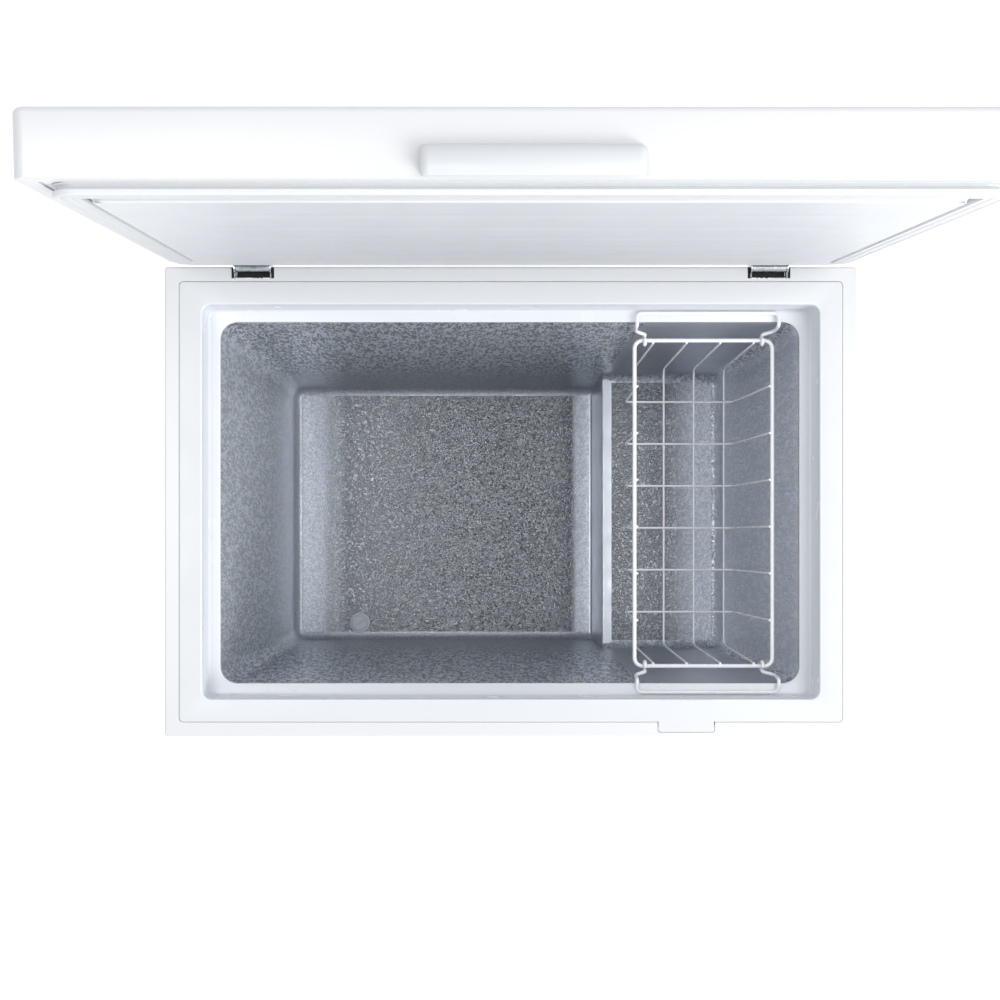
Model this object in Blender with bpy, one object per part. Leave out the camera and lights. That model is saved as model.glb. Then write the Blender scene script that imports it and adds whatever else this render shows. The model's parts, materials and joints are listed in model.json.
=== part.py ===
"""Chest freezer of the 150 litre class, standing on four feet with its lid open.

Metres, +Z up, +X to the right and -Y to the front. The origin lies on the floor under the centre
of the whole object. Every piece is a child of an empty at the cabinet's centre on the floor, and
the lid's pieces are drawn closed and turned open by an empty on the hinge axis.
"""

import math

import bpy
import bmesh
from mathutils import Vector

# Driving dimensions
CABINET_WIDTH = 0.7454
CABINET_DEPTH = 0.5056
RIM_HEIGHT = 0.790
FOOT_HEIGHT = 0.020
GAP = 0.0003
SHEET = 0.001
CABINET_CORNER = 0.004

# Rim: the folded top flange of the cabinet, then a plastic frame with a sunk ledge
FLANGE_WIDTH = 0.0157
FRAME_BAND = 0.0250
FRAME_THICKNESS = 0.0025
LEDGE_DROP = 0.035
LEDGE_WIDTH = 0.0135
SEAM_CORNER = 0.0045
RECESS_CORNER = 0.010
OPENING_CORNER = 0.019
LOCK_BLANK_FROM_SIDE = 0.1842
LOCK_BLANK_WIDTH = 0.061
LOCK_BLANK_DEPTH = 0.0106

# Liner: a deep well and a shallow one over the machine room
LINER_SHEET = 0.0012
LINER_FLANGE = 0.011
WELL_FLOOR = 0.085
STEP_FROM_SIDE = 0.2227
STEP_FLOOR = 0.271
EVAPORATOR_ZONE = 0.010
CONDENSER_ZONE = 0.0065

# Machine room
ROOM_FROM_STEP = 0.055
ROOM_TOP = 0.216
COMPRESSOR_RADII = (0.070, 0.090)
COMPRESSOR_HEIGHT = 0.150
COMPRESSOR_FROM_SIDE = 0.0837
COMPRESSOR_Y = 0.110
GROMMET_HEIGHT = 0.018
GROMMET_RADIUS = 0.009
TRAY_SIZE = (0.128, 0.190)
DRIER_RADIUS = 0.0095
DRIER_LENGTH = 0.085
DRIER_FROM_ROOM = 0.030
DRIER_Y = -0.130
SUCTION_RADIUS = 0.0035
DISCHARGE_RADIUS = 0.0025
CAPILLARY_RADIUS = 0.001
EVAPORATOR_RADIUS = 0.003
EVAPORATOR_GAP = 0.0008
EVAPORATOR_TURNS = 4
EVAPORATOR_FROM_RIM = 0.070
EVAPORATOR_PITCH = 0.100
CONDENSER_PASSES = 6
CONDENSER_FIRST = 0.100
CONDENSER_PITCH = 0.100

# Controls on the front, low on the right
BEZEL_FROM_SIDE = 0.0837
BEZEL_Z = 0.110
BEZEL_WIDTH = 0.096
BEZEL_HEIGHT = 0.052
BEZEL_THICKNESS = 0.003
KNOB_FROM_MIDDLE = 0.017
KNOB_RADIUS = 0.017
KNOB_DEPTH = 0.013
KNOB_SHAFT_RADIUS = 0.003
LAMP_FROM_MIDDLE = 0.027
LAMP_RADIUS = 0.004
THERMOSTAT_SIZE = (0.034, 0.030, 0.034)

# Drain
DRAIN_FROM_END = 0.102
DRAIN_FROM_FRONT = 0.0266
DRAIN_FLANGE_RADIUS = 0.0163
DRAIN_BORE = 0.0085
DRAIN_TUBE_RADIUS = 0.0110
DRAIN_OUTLET_Z = 0.048
DRAIN_BEND = 0.014
DRAIN_CAP_RADIUS = 0.0160

# Feet
FOOT_RADIUS = 0.019
FOOT_INSET = 0.050

# Hinges
HINGE_FROM_SIDE = 0.0952
HINGE_FROM_REAR = 0.0008
NOTCH_WIDTH = 0.046
NOTCH_DEPTH = 0.0125
CHANNEL_HALF = 0.0185
CHANNEL_SHEET = 0.0015
CHANNEL_LENGTH = 0.130
CHANNEL_FLANGE = 0.014
PIN_RADIUS = 0.003
KNUCKLE_RADIUS = 0.0052
SPRING_RADIUS = 0.0040
SPRING_WIRE = 0.0008
SPRING_TURNS = 7
SCREW_HEAD_RADIUS = 0.0035
SCREW_HEAD_HEIGHT = 0.0018
SCREW_RADIUS = 0.0018

# Lid, drawn closed
LID_OPEN_ANGLE = 85.0
LID_OVERHANG = 0.031
LID_LIFT = 0.0088
LID_THICKNESS = 0.0512
LID_CORNER = 0.010
LID_EDGE = 0.005
LID_RETURN = 0.014
LID_SKIN = 0.0015
PLUG_DEPTH = 0.0113
PLUG_INSET = 0.004
PLUG_SLOPE = 0.005
GASKET_WIDTH = 0.020
GASKET_INSET = 0.0282
HANDLE_WIDTH = 0.160
HANDLE_REACH = 0.014
HANDLE_HEIGHT = 0.024

# Basket
BASKET_WIDTH = 0.154
BASKET_FROM_END = 0.0245
BASKET_FROM_FRONT = 0.0166
BASKET_TAPER_X = 0.010
BASKET_TAPER_Y = 0.010
BASKET_RAIL_DROP = 0.060
BASKET_HEIGHT = 0.181
RAIL_WIRE = 0.00225
THIN_WIRE = 0.00125
WELD_BITE = 0.0003
RAIL_CORNER = 0.009
LONG_WIRES = 4
LONG_WIRE_PITCH = 0.0375
CROSS_WIRES = 6
CROSS_WIRE_PITCH = 0.0523
BAIL_WIRE = 0.0020
BAIL_SPREAD = 0.0007
BAIL_REACH = 0.026
BAIL_LIFT = 0.0075
BAIL_EYE_TURN = 255
BAIL_EYE_INSET = 0.0115
BAIL_EYE_CLEARANCE = 0.0005

# Sizes that follow from the driving ones
HALF_X = CABINET_WIDTH / 2
HALF_Y = CABINET_DEPTH / 2
SEAM_X = HALF_X - FLANGE_WIDTH
SEAM_Y = HALF_Y - FLANGE_WIDTH
RECESS_X = SEAM_X - FRAME_BAND
RECESS_Y = SEAM_Y - FRAME_BAND
OPENING_X = RECESS_X - LEDGE_WIDTH
OPENING_Y = RECESS_Y - LEDGE_WIDTH
LEDGE_Z = RIM_HEIGHT - LEDGE_DROP
LINER_TOP = LEDGE_Z - FRAME_THICKNESS - GAP
STEP_X = HALF_X - STEP_FROM_SIDE
ROOM_X = STEP_X + ROOM_FROM_STEP
COMPRESSOR_X = HALF_X - COMPRESSOR_FROM_SIDE
DRIER_X = ROOM_X + DRIER_FROM_ROOM
EVAPORATOR_TOP = RIM_HEIGHT - EVAPORATOR_FROM_RIM
LOCK_BLANK_X = HALF_X - LOCK_BLANK_FROM_SIDE
BEZEL_X = HALF_X - BEZEL_FROM_SIDE
KNOB_X = BEZEL_X + KNOB_FROM_MIDDLE
LAMP_X = BEZEL_X - LAMP_FROM_MIDDLE
DRAIN_X = DRAIN_FROM_END - OPENING_X
DRAIN_Y = DRAIN_FROM_FRONT - OPENING_Y
HINGE_SPREAD = HALF_X - HINGE_FROM_SIDE
HINGE_Y = HALF_Y - HINGE_FROM_REAR
HINGE_Z = RIM_HEIGHT
INSIDE_X = HALF_X - SHEET
INSIDE_Y = HALF_Y - SHEET
PAN_TOP = FOOT_HEIGHT + SHEET
LID_BOTTOM = RIM_HEIGHT + LID_LIFT
LID_TOP = LID_BOTTOM + LID_THICKNESS
LID_REAR = HINGE_Y + LID_OVERHANG
LID_HALF_Y = (LID_REAR + HALF_Y) / 2
LID_CENTRE_Y = (LID_REAR - HALF_Y) / 2
BASKET_HALF_X = BASKET_WIDTH / 2
BASKET_X = OPENING_X - BASKET_FROM_END - BASKET_HALF_X
BASKET_HALF_DEPTH = OPENING_Y - BASKET_FROM_FRONT
RAIL_Z = RIM_HEIGHT - BASKET_RAIL_DROP
BASKET_FLOOR = RAIL_Z - BASKET_HEIGHT
BEZEL_FRONT = -HALF_Y - GAP - BEZEL_THICKNESS
FRONT_REACH = -BEZEL_FRONT + GAP + KNOB_DEPTH


def rear_reach():
    """How far the open lid reaches behind the cabinet's centre: the rounded edge of its outer panel."""
    turn = math.radians(LID_OPEN_ANGLE)
    out = LID_OVERHANG - LID_EDGE
    up = LID_TOP - HINGE_Z - LID_EDGE
    return HINGE_Y + out * math.cos(turn) + up * math.sin(turn) + LID_EDGE


CABINET_Y = (FRONT_REACH - rear_reach()) / 2

MATERIALS = {
    "white_steel": ((0.84, 0.85, 0.86), 0.30, 0.0),
    "white_plastic": ((0.82, 0.84, 0.86), 0.38, 0.0),
    "lid_liner_plastic": ((0.72, 0.74, 0.77), 0.40, 0.0),
    "embossed_aluminium": ((0.55, 0.58, 0.62), 0.30, 1.0),
    "foam": ((0.80, 0.72, 0.48), 0.95, 0.0),
    "zinc_steel": ((0.66, 0.68, 0.70), 0.35, 1.0),
    "galvanised_steel": ((0.50, 0.52, 0.54), 0.45, 1.0),
    "spring_steel": ((0.22, 0.23, 0.25), 0.35, 1.0),
    "black_enamel": ((0.02, 0.02, 0.022), 0.35, 0.0),
    "black_plastic": ((0.03, 0.03, 0.033), 0.50, 0.0),
    "copper": ((0.72, 0.38, 0.24), 0.30, 1.0),
    "rubber": ((0.05, 0.05, 0.05), 0.85, 0.0),
    "gasket_vinyl": ((0.78, 0.79, 0.80), 0.55, 0.0),
    "grey_plastic": ((0.30, 0.31, 0.33), 0.45, 0.0),
    "coated_wire": ((0.88, 0.89, 0.91), 0.22, 0.0),
    "green_lens": ((0.05, 0.55, 0.16), 0.15, 0.0),
}


def clear_scene():
    for obj in list(bpy.data.objects):
        bpy.data.objects.remove(obj, do_unlink=True)


def make_materials():
    made = {}
    for name, (colour, roughness, metallic) in MATERIALS.items():
        material = bpy.data.materials.new(name)
        material.use_nodes = True
        shader = material.node_tree.nodes["Principled BSDF"]
        shader.inputs["Base Color"].default_value = (*colour, 1.0)
        shader.inputs["Roughness"].default_value = roughness
        shader.inputs["Metallic"].default_value = metallic
        made[name] = material
    return made


def empty(name, at, parent=None, turn=(0.0, 0.0, 0.0)):
    obj = bpy.data.objects.new(name, None)
    bpy.context.scene.collection.objects.link(obj)
    obj.location = at
    obj.rotation_euler = turn
    obj.parent = parent
    return obj


class Shop:
    """Builds pieces under one parent empty, at one offset from it."""

    def __init__(self, parent, materials, offset=(0.0, 0.0, 0.0)):
        self.parent = parent
        self.materials = materials
        self.offset = Vector(offset)

    def piece(self, name, bm, material, at=(0.0, 0.0, 0.0), turn=(0.0, 0.0, 0.0), smooth=False):
        """Close a bmesh into a named object."""
        bmesh.ops.recalc_face_normals(bm, faces=bm.faces)
        mesh = bpy.data.meshes.new(name)
        bm.to_mesh(mesh)
        bm.free()
        if smooth:
            mesh.shade_smooth()
            mesh.set_sharp_from_angle(angle=math.radians(35))
        mesh.materials.append(self.materials[material])
        obj = bpy.data.objects.new(name, mesh)
        bpy.context.scene.collection.objects.link(obj)
        obj.parent = self.parent
        obj.location = Vector(at) + self.offset
        obj.rotation_euler = turn
        return obj

    def loft(self, name, loops, material, ring=False, **place):
        """Skin loops of equal length. A ring joins its last loop to its first; the rest is capped."""
        bm = bmesh.new()
        rows = [[bm.verts.new(point) for point in loop] for loop in loops]
        count = len(rows[0])
        pairs = list(zip(rows, rows[1:]))
        if ring:
            pairs.append((rows[-1], rows[0]))
        else:
            bm.faces.new(rows[0][::-1])
            bm.faces.new(rows[-1])
        for lower, upper in pairs:
            for i in range(count):
                j = (i + 1) % count
                bm.faces.new((lower[i], lower[j], upper[j], upper[i]))
        return self.piece(name, bm, material, **place)

    def box(self, name, x, y, z, material, **place):
        corners = [(x[0], y[0]), (x[1], y[0]), (x[1], y[1]), (x[0], y[1])]
        loops = [[(px, py, pz) for px, py in corners] for pz in z]
        return self.loft(name, loops, material, **place)

    def prism(self, name, outline, z, material, **place):
        """An outline in X and Y, raised between two heights."""
        loops = [[(px, py, pz) for px, py in outline] for pz in z]
        return self.loft(name, loops, material, **place)

    def turned(self, name, profile, material, sides=20, ring=False, **place):
        """A profile of (radius, height) turned about the local Z axis."""
        loops = [circle(radius, height, sides) for radius, height in profile]
        return self.loft(name, loops, material, ring=ring, smooth=True, **place)

    def tube(self, name, route, radius, material, sides=6, cyclic=False, **place):
        """A round wire or tube along a route."""
        loops = sweep(route, radius, sides, cyclic)
        return self.loft(name, loops, material, ring=cyclic, smooth=True, **place)


def circle(radius, height, sides):
    angles = [2 * math.pi * i / sides for i in range(sides)]
    return [(radius * math.cos(a), radius * math.sin(a), height) for a in angles]


def rounded_rectangle(half_x, half_y, radius, z, centre=(0.0, 0.0), steps=4):
    """A loop seen anticlockwise from above, starting on the right at the rear corner."""
    points = []
    for quarter, (side_x, side_y) in enumerate(((1, 1), (-1, 1), (-1, -1), (1, -1))):
        x = centre[0] + side_x * (half_x - radius)
        y = centre[1] + side_y * (half_y - radius)
        for step in range(steps + 1):
            angle = math.radians(90 * (quarter + step / steps))
            points.append((x + radius * math.cos(angle), y + radius * math.sin(angle), z))
    return points


def bent(corners, radius, steps=4):
    """A route through corner points with each inner corner bent to a smooth curve."""
    corners = [Vector(c) for c in corners]
    route = [corners[0]]
    for before, corner, after in zip(corners, corners[1:], corners[2:]):
        back = before - corner
        ahead = after - corner
        reach = min(radius, back.length * 0.45, ahead.length * 0.45)
        start = corner + back.normalized() * reach
        end = corner + ahead.normalized() * reach
        for step in range(steps + 1):
            t = step / steps
            route.append(start * (1 - t) ** 2 + corner * 2 * t * (1 - t) + end * t**2)
    route.append(corners[-1])
    return route


def sweep(route, radius, sides, cyclic):
    """Circles along a route, each square to it, with no twist from one to the next."""
    route = [Vector(p) for p in route]
    count = len(route)
    loops = []
    across = None
    for i, point in enumerate(route):
        if cyclic:
            before, after = route[i - 1], route[(i + 1) % count]
        else:
            before, after = route[max(i - 1, 0)], route[min(i + 1, count - 1)]
        along = (after - before).normalized()
        if across is None:
            across = along.orthogonal()
        across = (across - along * across.dot(along)).normalized()
        side = along.cross(across)
        angles = [2 * math.pi * k / sides for k in range(sides)]
        loops.append([point + radius * (across * math.cos(a) + side * math.sin(a)) for a in angles])
    return loops


def combine(obj, operation, *others):
    """Cut or join other shapes, which are left out of the finished object."""
    for other in others:
        modifier = obj.modifiers.new(other.name, "BOOLEAN")
        modifier.operation = operation
        modifier.object = other
        modifier.solver = "EXACT"
        other.hide_render = True
        other.display_type = "WIRE"
    return obj


def shell_loop(half_x, half_y, corner, z, inset=0.0, **options):
    """A rounded rectangle moved in from its full size, with its corner reduced to match."""
    radius = max(corner - inset, 0.0008)
    return rounded_rectangle(half_x - inset, half_y - inset, radius, z, **options)


# Cabinet


def make_wrapper(shop):
    edge = 0.002
    corner = CABINET_CORNER
    loops = [
        shell_loop(HALF_X, HALF_Y, corner, FOOT_HEIGHT),
        shell_loop(HALF_X, HALF_Y, corner, RIM_HEIGHT - edge),
        shell_loop(HALF_X, HALF_Y, corner, RIM_HEIGHT - edge * 0.3, edge * 0.3),
        shell_loop(HALF_X, HALF_Y, corner, RIM_HEIGHT, edge),
        rounded_rectangle(SEAM_X, SEAM_Y, SEAM_CORNER, RIM_HEIGHT),
        rounded_rectangle(SEAM_X, SEAM_Y, SEAM_CORNER, RIM_HEIGHT - SHEET),
        shell_loop(HALF_X, HALF_Y, corner, RIM_HEIGHT - SHEET, edge),
        shell_loop(HALF_X, HALF_Y, corner, RIM_HEIGHT - edge, SHEET),
        shell_loop(HALF_X, HALF_Y, corner, FOOT_HEIGHT, SHEET),
    ]
    wrapper = shop.loft("outer_wrapper", loops, "white_steel", ring=True)
    back = shop.box(
        "cut_wrapper_back",
        (-INSIDE_X + 0.0002, INSIDE_X - 0.0002),
        (INSIDE_Y - 0.006, HALF_Y + 0.01),
        (FOOT_HEIGHT - 0.01, RIM_HEIGHT - SHEET - 0.0015),
        "white_steel",
    )
    cuts = [back, lock_blank(shop, "cut_wrapper_lock_blank", GAP, RIM_HEIGHT + 0.01)]
    for side, name in ((-1, "left"), (1, "right")):
        x = side * HINGE_SPREAD
        cuts.append(
            shop.box(
                "cut_wrapper_notch_" + name,
                (x - NOTCH_WIDTH / 2, x + NOTCH_WIDTH / 2),
                (HALF_Y - NOTCH_DEPTH, HALF_Y + 0.01),
                (RIM_HEIGHT - 0.01, RIM_HEIGHT + 0.01),
                "white_steel",
            )
        )
    grille_y, grille_z, half_y, half_z = grille_window()
    cuts.append(
        shop.box(
            "cut_wrapper_grille",
            (HALF_X - 0.01, HALF_X + 0.01),
            (grille_y - half_y, grille_y + half_y),
            (grille_z - half_z, grille_z + half_z),
            "white_steel",
        )
    )
    cuts.append(
        shop.box(
            "cut_wrapper_controls",
            (BEZEL_X - BEZEL_WIDTH / 2 + 0.006, BEZEL_X + BEZEL_WIDTH / 2 - 0.006),
            (-HALF_Y - 0.01, -HALF_Y + 0.01),
            (BEZEL_Z - BEZEL_HEIGHT / 2 + 0.006, BEZEL_Z + BEZEL_HEIGHT / 2 - 0.006),
            "white_steel",
        )
    )
    cuts.append(
        shop.turned(
            "cut_wrapper_drain",
            [(DRAIN_TUBE_RADIUS + GAP, -0.01), (DRAIN_TUBE_RADIUS + GAP, 0.01)],
            "white_steel",
            at=(DRAIN_X, -HALF_Y, DRAIN_OUTLET_Z),
            turn=(math.radians(90), 0.0, 0.0),
        )
    )
    return combine(wrapper, "DIFFERENCE", *cuts)


def lock_blank(shop, name, clearance, top):
    """The tongue of the rim frame over the place where a lock can be fitted."""
    half = LOCK_BLANK_WIDTH / 2 + clearance
    front = -SEAM_Y - LOCK_BLANK_DEPTH - clearance
    rear = -SEAM_Y + 0.003
    corner = 0.003
    centre = (LOCK_BLANK_X, (front + rear) / 2)
    bottom = RIM_HEIGHT - FRAME_THICKNESS - (0.01 if clearance else 0.0)
    loops = [
        rounded_rectangle(half, (rear - front) / 2, corner, z, centre, steps=3) for z in (bottom, top)
    ]
    return shop.loft(name, loops, "white_plastic")


def make_breaker_frame(shop):
    """Closed profile: flat top, sunk wall, ledge, rolled lip, then back along the underside."""
    t = FRAME_THICKNESS
    corner = RECESS_CORNER
    draft = 0.0008
    loops = [
        rounded_rectangle(SEAM_X - GAP, SEAM_Y - GAP, SEAM_CORNER, RIM_HEIGHT),
        rounded_rectangle(RECESS_X + 0.002, RECESS_Y + 0.002, corner + 0.002, RIM_HEIGHT),
        rounded_rectangle(RECESS_X + 0.0006, RECESS_Y + 0.0006, corner + 0.0006, RIM_HEIGHT - 0.0006),
        rounded_rectangle(RECESS_X, RECESS_Y, corner, RIM_HEIGHT - 0.002),
        shell_loop(RECESS_X, RECESS_Y, corner, LEDGE_Z + 0.002, draft),
        shell_loop(RECESS_X, RECESS_Y, corner, LEDGE_Z, draft + 0.002),
        rounded_rectangle(OPENING_X + 0.002, OPENING_Y + 0.002, OPENING_CORNER + 0.002, LEDGE_Z),
        rounded_rectangle(OPENING_X + 0.0006, OPENING_Y + 0.0006, OPENING_CORNER, LEDGE_Z - 0.0005),
        rounded_rectangle(OPENING_X, OPENING_Y, OPENING_CORNER, LEDGE_Z - 0.0015),
        rounded_rectangle(OPENING_X, OPENING_Y, OPENING_CORNER, LEDGE_Z - t),
        rounded_rectangle(RECESS_X + t, RECESS_Y + t, corner + t, LEDGE_Z - t),
        rounded_rectangle(RECESS_X + t, RECESS_Y + t, corner + t, RIM_HEIGHT - t),
        rounded_rectangle(SEAM_X - GAP, SEAM_Y - GAP, SEAM_CORNER, RIM_HEIGHT - t),
    ]
    frame = shop.loft("breaker_frame", loops, "white_plastic", ring=True)
    return combine(frame, "UNION", lock_blank(shop, "join_frame_lock_blank", 0.0, RIM_HEIGHT))


def well_prism(shop, name, grow, floor, top, deep):
    """The deep or the shallow well, grown outward by a wall."""
    right = STEP_X + grow if deep else OPENING_X + grow
    left = -OPENING_X - grow
    half_x = (right - left) / 2
    centre = ((right + left) / 2, 0.0)
    corner = OPENING_CORNER + grow
    loops = []
    for z in (floor, top):
        loop = rounded_rectangle(half_x, OPENING_Y + grow, corner, z, centre)
        if deep:
            # the step wall meets the front and rear walls square
            loop = [
                (right if x > centre[0] else x, math.copysign(OPENING_Y + grow, y) if x > centre[0] else y, z)
                for x, y, z in loop
            ]
            loop = list(dict.fromkeys(loop))
        loops.append(loop)
    return shop.loft(name, loops, "embossed_aluminium")


def make_liner(shop):
    t = LINER_SHEET
    corner = OPENING_CORNER + t
    floor = STEP_FLOOR - t
    loops = [
        rounded_rectangle(OPENING_X + t, OPENING_Y + t, corner, floor),
        rounded_rectangle(OPENING_X + t, OPENING_Y + t, corner, LINER_TOP - t),
        rounded_rectangle(OPENING_X + LINER_FLANGE, OPENING_Y + LINER_FLANGE, corner, LINER_TOP - t),
        rounded_rectangle(OPENING_X + LINER_FLANGE, OPENING_Y + LINER_FLANGE, corner, LINER_TOP),
    ]
    liner = shop.loft("inner_liner", loops, "embossed_aluminium")
    deep = well_prism(shop, "join_liner_deep", t, WELL_FLOOR - t, STEP_FLOOR, True)
    combine(liner, "UNION", deep)
    inner_deep = well_prism(shop, "cut_liner_deep", 0.0, WELL_FLOOR, STEP_FLOOR + 0.01, True)
    inner_shallow = well_prism(shop, "cut_liner_shallow", 0.0, STEP_FLOOR, LINER_TOP + 0.01, False)
    hole = shop.turned(
        "cut_liner_drain",
        [(DRAIN_TUBE_RADIUS + GAP, WELL_FLOOR - 0.01), (DRAIN_TUBE_RADIUS + GAP, WELL_FLOOR + 0.01)],
        "embossed_aluminium",
        at=(DRAIN_X, DRAIN_Y, 0.0),
    )
    return combine(liner, "DIFFERENCE", inner_deep, inner_shallow, hole)


def chase_box(shop, name, z, clearance=0.0):
    """The passage for the tubes from the machine room up behind the liner."""
    x = OPENING_X + LINER_SHEET
    return shop.box(
        name,
        (x - 0.002 - clearance, x + 0.0145 + clearance),
        (-OPENING_Y + 0.003 - clearance, -OPENING_Y + 0.033 + clearance),
        z,
        "foam",
    )


def make_foam(shop):
    margin = CONDENSER_ZONE
    body = shop.box(
        "foam_insulation",
        (-INSIDE_X + margin, INSIDE_X - margin),
        (-INSIDE_Y + margin, INSIDE_Y - GAP),
        (PAN_TOP + GAP, RIM_HEIGHT - FRAME_THICKNESS - GAP),
        "foam",
    )
    grow = LINER_SHEET + EVAPORATOR_ZONE
    top = RIM_HEIGHT + 0.01
    recess = FRAME_THICKNESS + GAP * 2
    cuts = [
        well_prism(shop, "cut_foam_deep", grow, WELL_FLOOR - LINER_SHEET - GAP, top, True),
        well_prism(shop, "cut_foam_shallow", grow, STEP_FLOOR - LINER_SHEET - GAP, top, False),
        shop.loft(
            "cut_foam_recess",
            [
                rounded_rectangle(RECESS_X + recess, RECESS_Y + recess, RECESS_CORNER + recess, z)
                for z in (LINER_TOP - LINER_SHEET - GAP, top)
            ],
            "foam",
        ),
        shop.box(
            "cut_foam_room",
            (ROOM_X - GAP, HALF_X),
            (-HALF_Y, HALF_Y + 0.01),
            (0.0, ROOM_TOP + SHEET + GAP),
            "foam",
        ),
        chase_box(shop, "cut_foam_chase", (ROOM_TOP - 0.01, STEP_FLOOR)),
        shop.tube(
            "cut_foam_drain",
            drain_route(WELL_FLOOR + 0.004, -HALF_Y - 0.01),
            DRAIN_TUBE_RADIUS + GAP * 3,
            "foam",
            sides=14,
        ),
    ]
    for side, name in ((-1, "left"), (1, "right")):
        x = side * HINGE_SPREAD
        half = CHANNEL_HALF + CHANNEL_SHEET + GAP * 2
        cuts.append(
            shop.box(
                "cut_foam_hinge_" + name,
                (x - half, x + half),
                (channel_front() - GAP * 2, HALF_Y + 0.01),
                (HINGE_Z - CHANNEL_LENGTH - GAP * 2, RIM_HEIGHT + 0.01),
                "foam",
            )
        )
    return combine(body, "DIFFERENCE", *cuts)


def make_base_pan(shop):
    x = INSIDE_X - GAP
    y = INSIDE_Y - GAP
    loops = [rounded_rectangle(x, y, CABINET_CORNER, z, steps=3) for z in (FOOT_HEIGHT, PAN_TOP)]
    return shop.loft("base_pan", loops, "galvanised_steel")


def make_back_panel(shop):
    x = INSIDE_X - GAP
    panel = shop.box(
        "back_panel",
        (-x, x),
        (INSIDE_Y, HALF_Y),
        (FOOT_HEIGHT, RIM_HEIGHT - SHEET - 0.0015 - GAP),
        "galvanised_steel",
    )
    cuts = []
    for side, name in ((-1, "left"), (1, "right")):
        centre = side * HINGE_SPREAD
        half = CHANNEL_HALF + CHANNEL_SHEET + GAP
        bottom = HINGE_Z - CHANNEL_LENGTH - GAP
        cuts.append(
            shop.box(
                "cut_back_hinge_" + name,
                (centre - half, centre + half),
                (INSIDE_Y - 0.01, HALF_Y + 0.01),
                (bottom, RIM_HEIGHT + 0.01),
                "galvanised_steel",
            )
        )
    x_range, z_range = rear_cover_window()
    cuts.append(
        shop.box(
            "cut_back_room",
            (x_range[0] - GAP, x_range[1] + GAP),
            (INSIDE_Y - 0.01, HALF_Y + 0.01),
            (z_range[0] - GAP, z_range[1] + GAP),
            "galvanised_steel",
        )
    )
    return combine(panel, "DIFFERENCE", *cuts)


def rear_cover_window():
    return (ROOM_X + 0.008, INSIDE_X - 0.012), (PAN_TOP + 0.010, ROOM_TOP - 0.010)


def grille_window():
    """Centre and half sizes of the vent in the right side of the cabinet."""
    return COMPRESSOR_Y, (PAN_TOP + ROOM_TOP) / 2, 0.075, 0.060


# Machine room


def make_room_panel(shop):
    """Bent sheet between the foam and the machine room; its front edge leaves room for tubes."""
    t = SHEET
    right = INSIDE_X - GAP
    outline = [
        (ROOM_X, PAN_TOP + GAP),
        (ROOM_X + t, PAN_TOP + GAP),
        (ROOM_X + t, ROOM_TOP),
        (right, ROOM_TOP),
        (right, ROOM_TOP + t),
        (ROOM_X, ROOM_TOP + t),
    ]
    front = -INSIDE_Y + CONDENSER_ZONE
    rear = INSIDE_Y - GAP
    loops = [[(x, y, z) for x, z in outline] for y in (front, rear)]
    panel = shop.loft("machine_room_panel", loops, "galvanised_steel")
    chase = chase_box(shop, "cut_room_chase", (ROOM_TOP - 0.01, ROOM_TOP + 0.01))
    return combine(panel, "DIFFERENCE", chase)


def ellipse(radii, z, sides=24):
    angles = [2 * math.pi * i / sides for i in range(sides)]
    return [(radii[0] * math.cos(a), radii[1] * math.sin(a), z) for a in angles]


def make_compressor(shop):
    at = (COMPRESSOR_X, COMPRESSOR_Y, tray_top() + GAP)
    a, b = COMPRESSOR_RADII
    h = COMPRESSOR_HEIGHT
    # dished bottom, straight wall, weld flange at two thirds, domed top
    sections = [
        (0.70, 0.0),
        (0.88, 0.010),
        (0.955, 0.030),
        (0.955, 0.62 * h),
        (1.0, 0.63 * h),
        (1.0, 0.66 * h),
        (0.955, 0.67 * h),
        (0.91, 0.82 * h),
        (0.74, 0.94 * h),
        (0.42, h),
    ]
    loops = [ellipse((a * scale, b * scale), z) for scale, z in sections]
    shop.loft("compressor_shell", loops, "black_enamel", smooth=True, at=at)

    half_x, half_y = TRAY_SIZE[0] / 2, TRAY_SIZE[1] / 2
    z = PAN_TOP + GAP + GROMMET_HEIGHT
    outline = rounded_rectangle(half_x, half_y, 0.012, 0.0, steps=3)
    tray = shop.prism(
        "compressor_tray",
        [(x, y) for x, y, _ in outline],
        (0.0, 0.0025),
        "black_enamel",
        at=(COMPRESSOR_X, COMPRESSOR_Y, z + GAP),
    )
    for number, (side_x, side_y) in enumerate(((-1, -1), (1, -1), (-1, 1), (1, 1)), 1):
        x = COMPRESSOR_X + side_x * (half_x - 0.014)
        y = COMPRESSOR_Y + side_y * (half_y - 0.014)
        waist = GROMMET_RADIUS * 0.8
        profile = [
            (GROMMET_RADIUS, 0.0),
            (GROMMET_RADIUS, GROMMET_HEIGHT * 0.3),
            (waist, GROMMET_HEIGHT * 0.4),
            (waist, GROMMET_HEIGHT * 0.6),
            (GROMMET_RADIUS, GROMMET_HEIGHT * 0.7),
            (GROMMET_RADIUS, GROMMET_HEIGHT),
        ]
        shop.turned(f"grommet_{number}", profile, "rubber", sides=12, at=(x, y, PAN_TOP + GAP))
    return tray


def tray_top():
    return PAN_TOP + GROMMET_HEIGHT + 0.0025 + GAP * 2


def make_relay_cover(shop):
    rear = COMPRESSOR_Y - COMPRESSOR_RADII[1] - GAP * 2
    outline = rounded_rectangle(0.024, 0.018, 0.004, 0.0, steps=2)
    shop.prism(
        "relay_cover",
        [(x, y) for x, y, _ in outline],
        (0.0, 0.058),
        "black_plastic",
        at=(COMPRESSOR_X, rear - 0.018, tray_top() + 0.045),
    )


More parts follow.
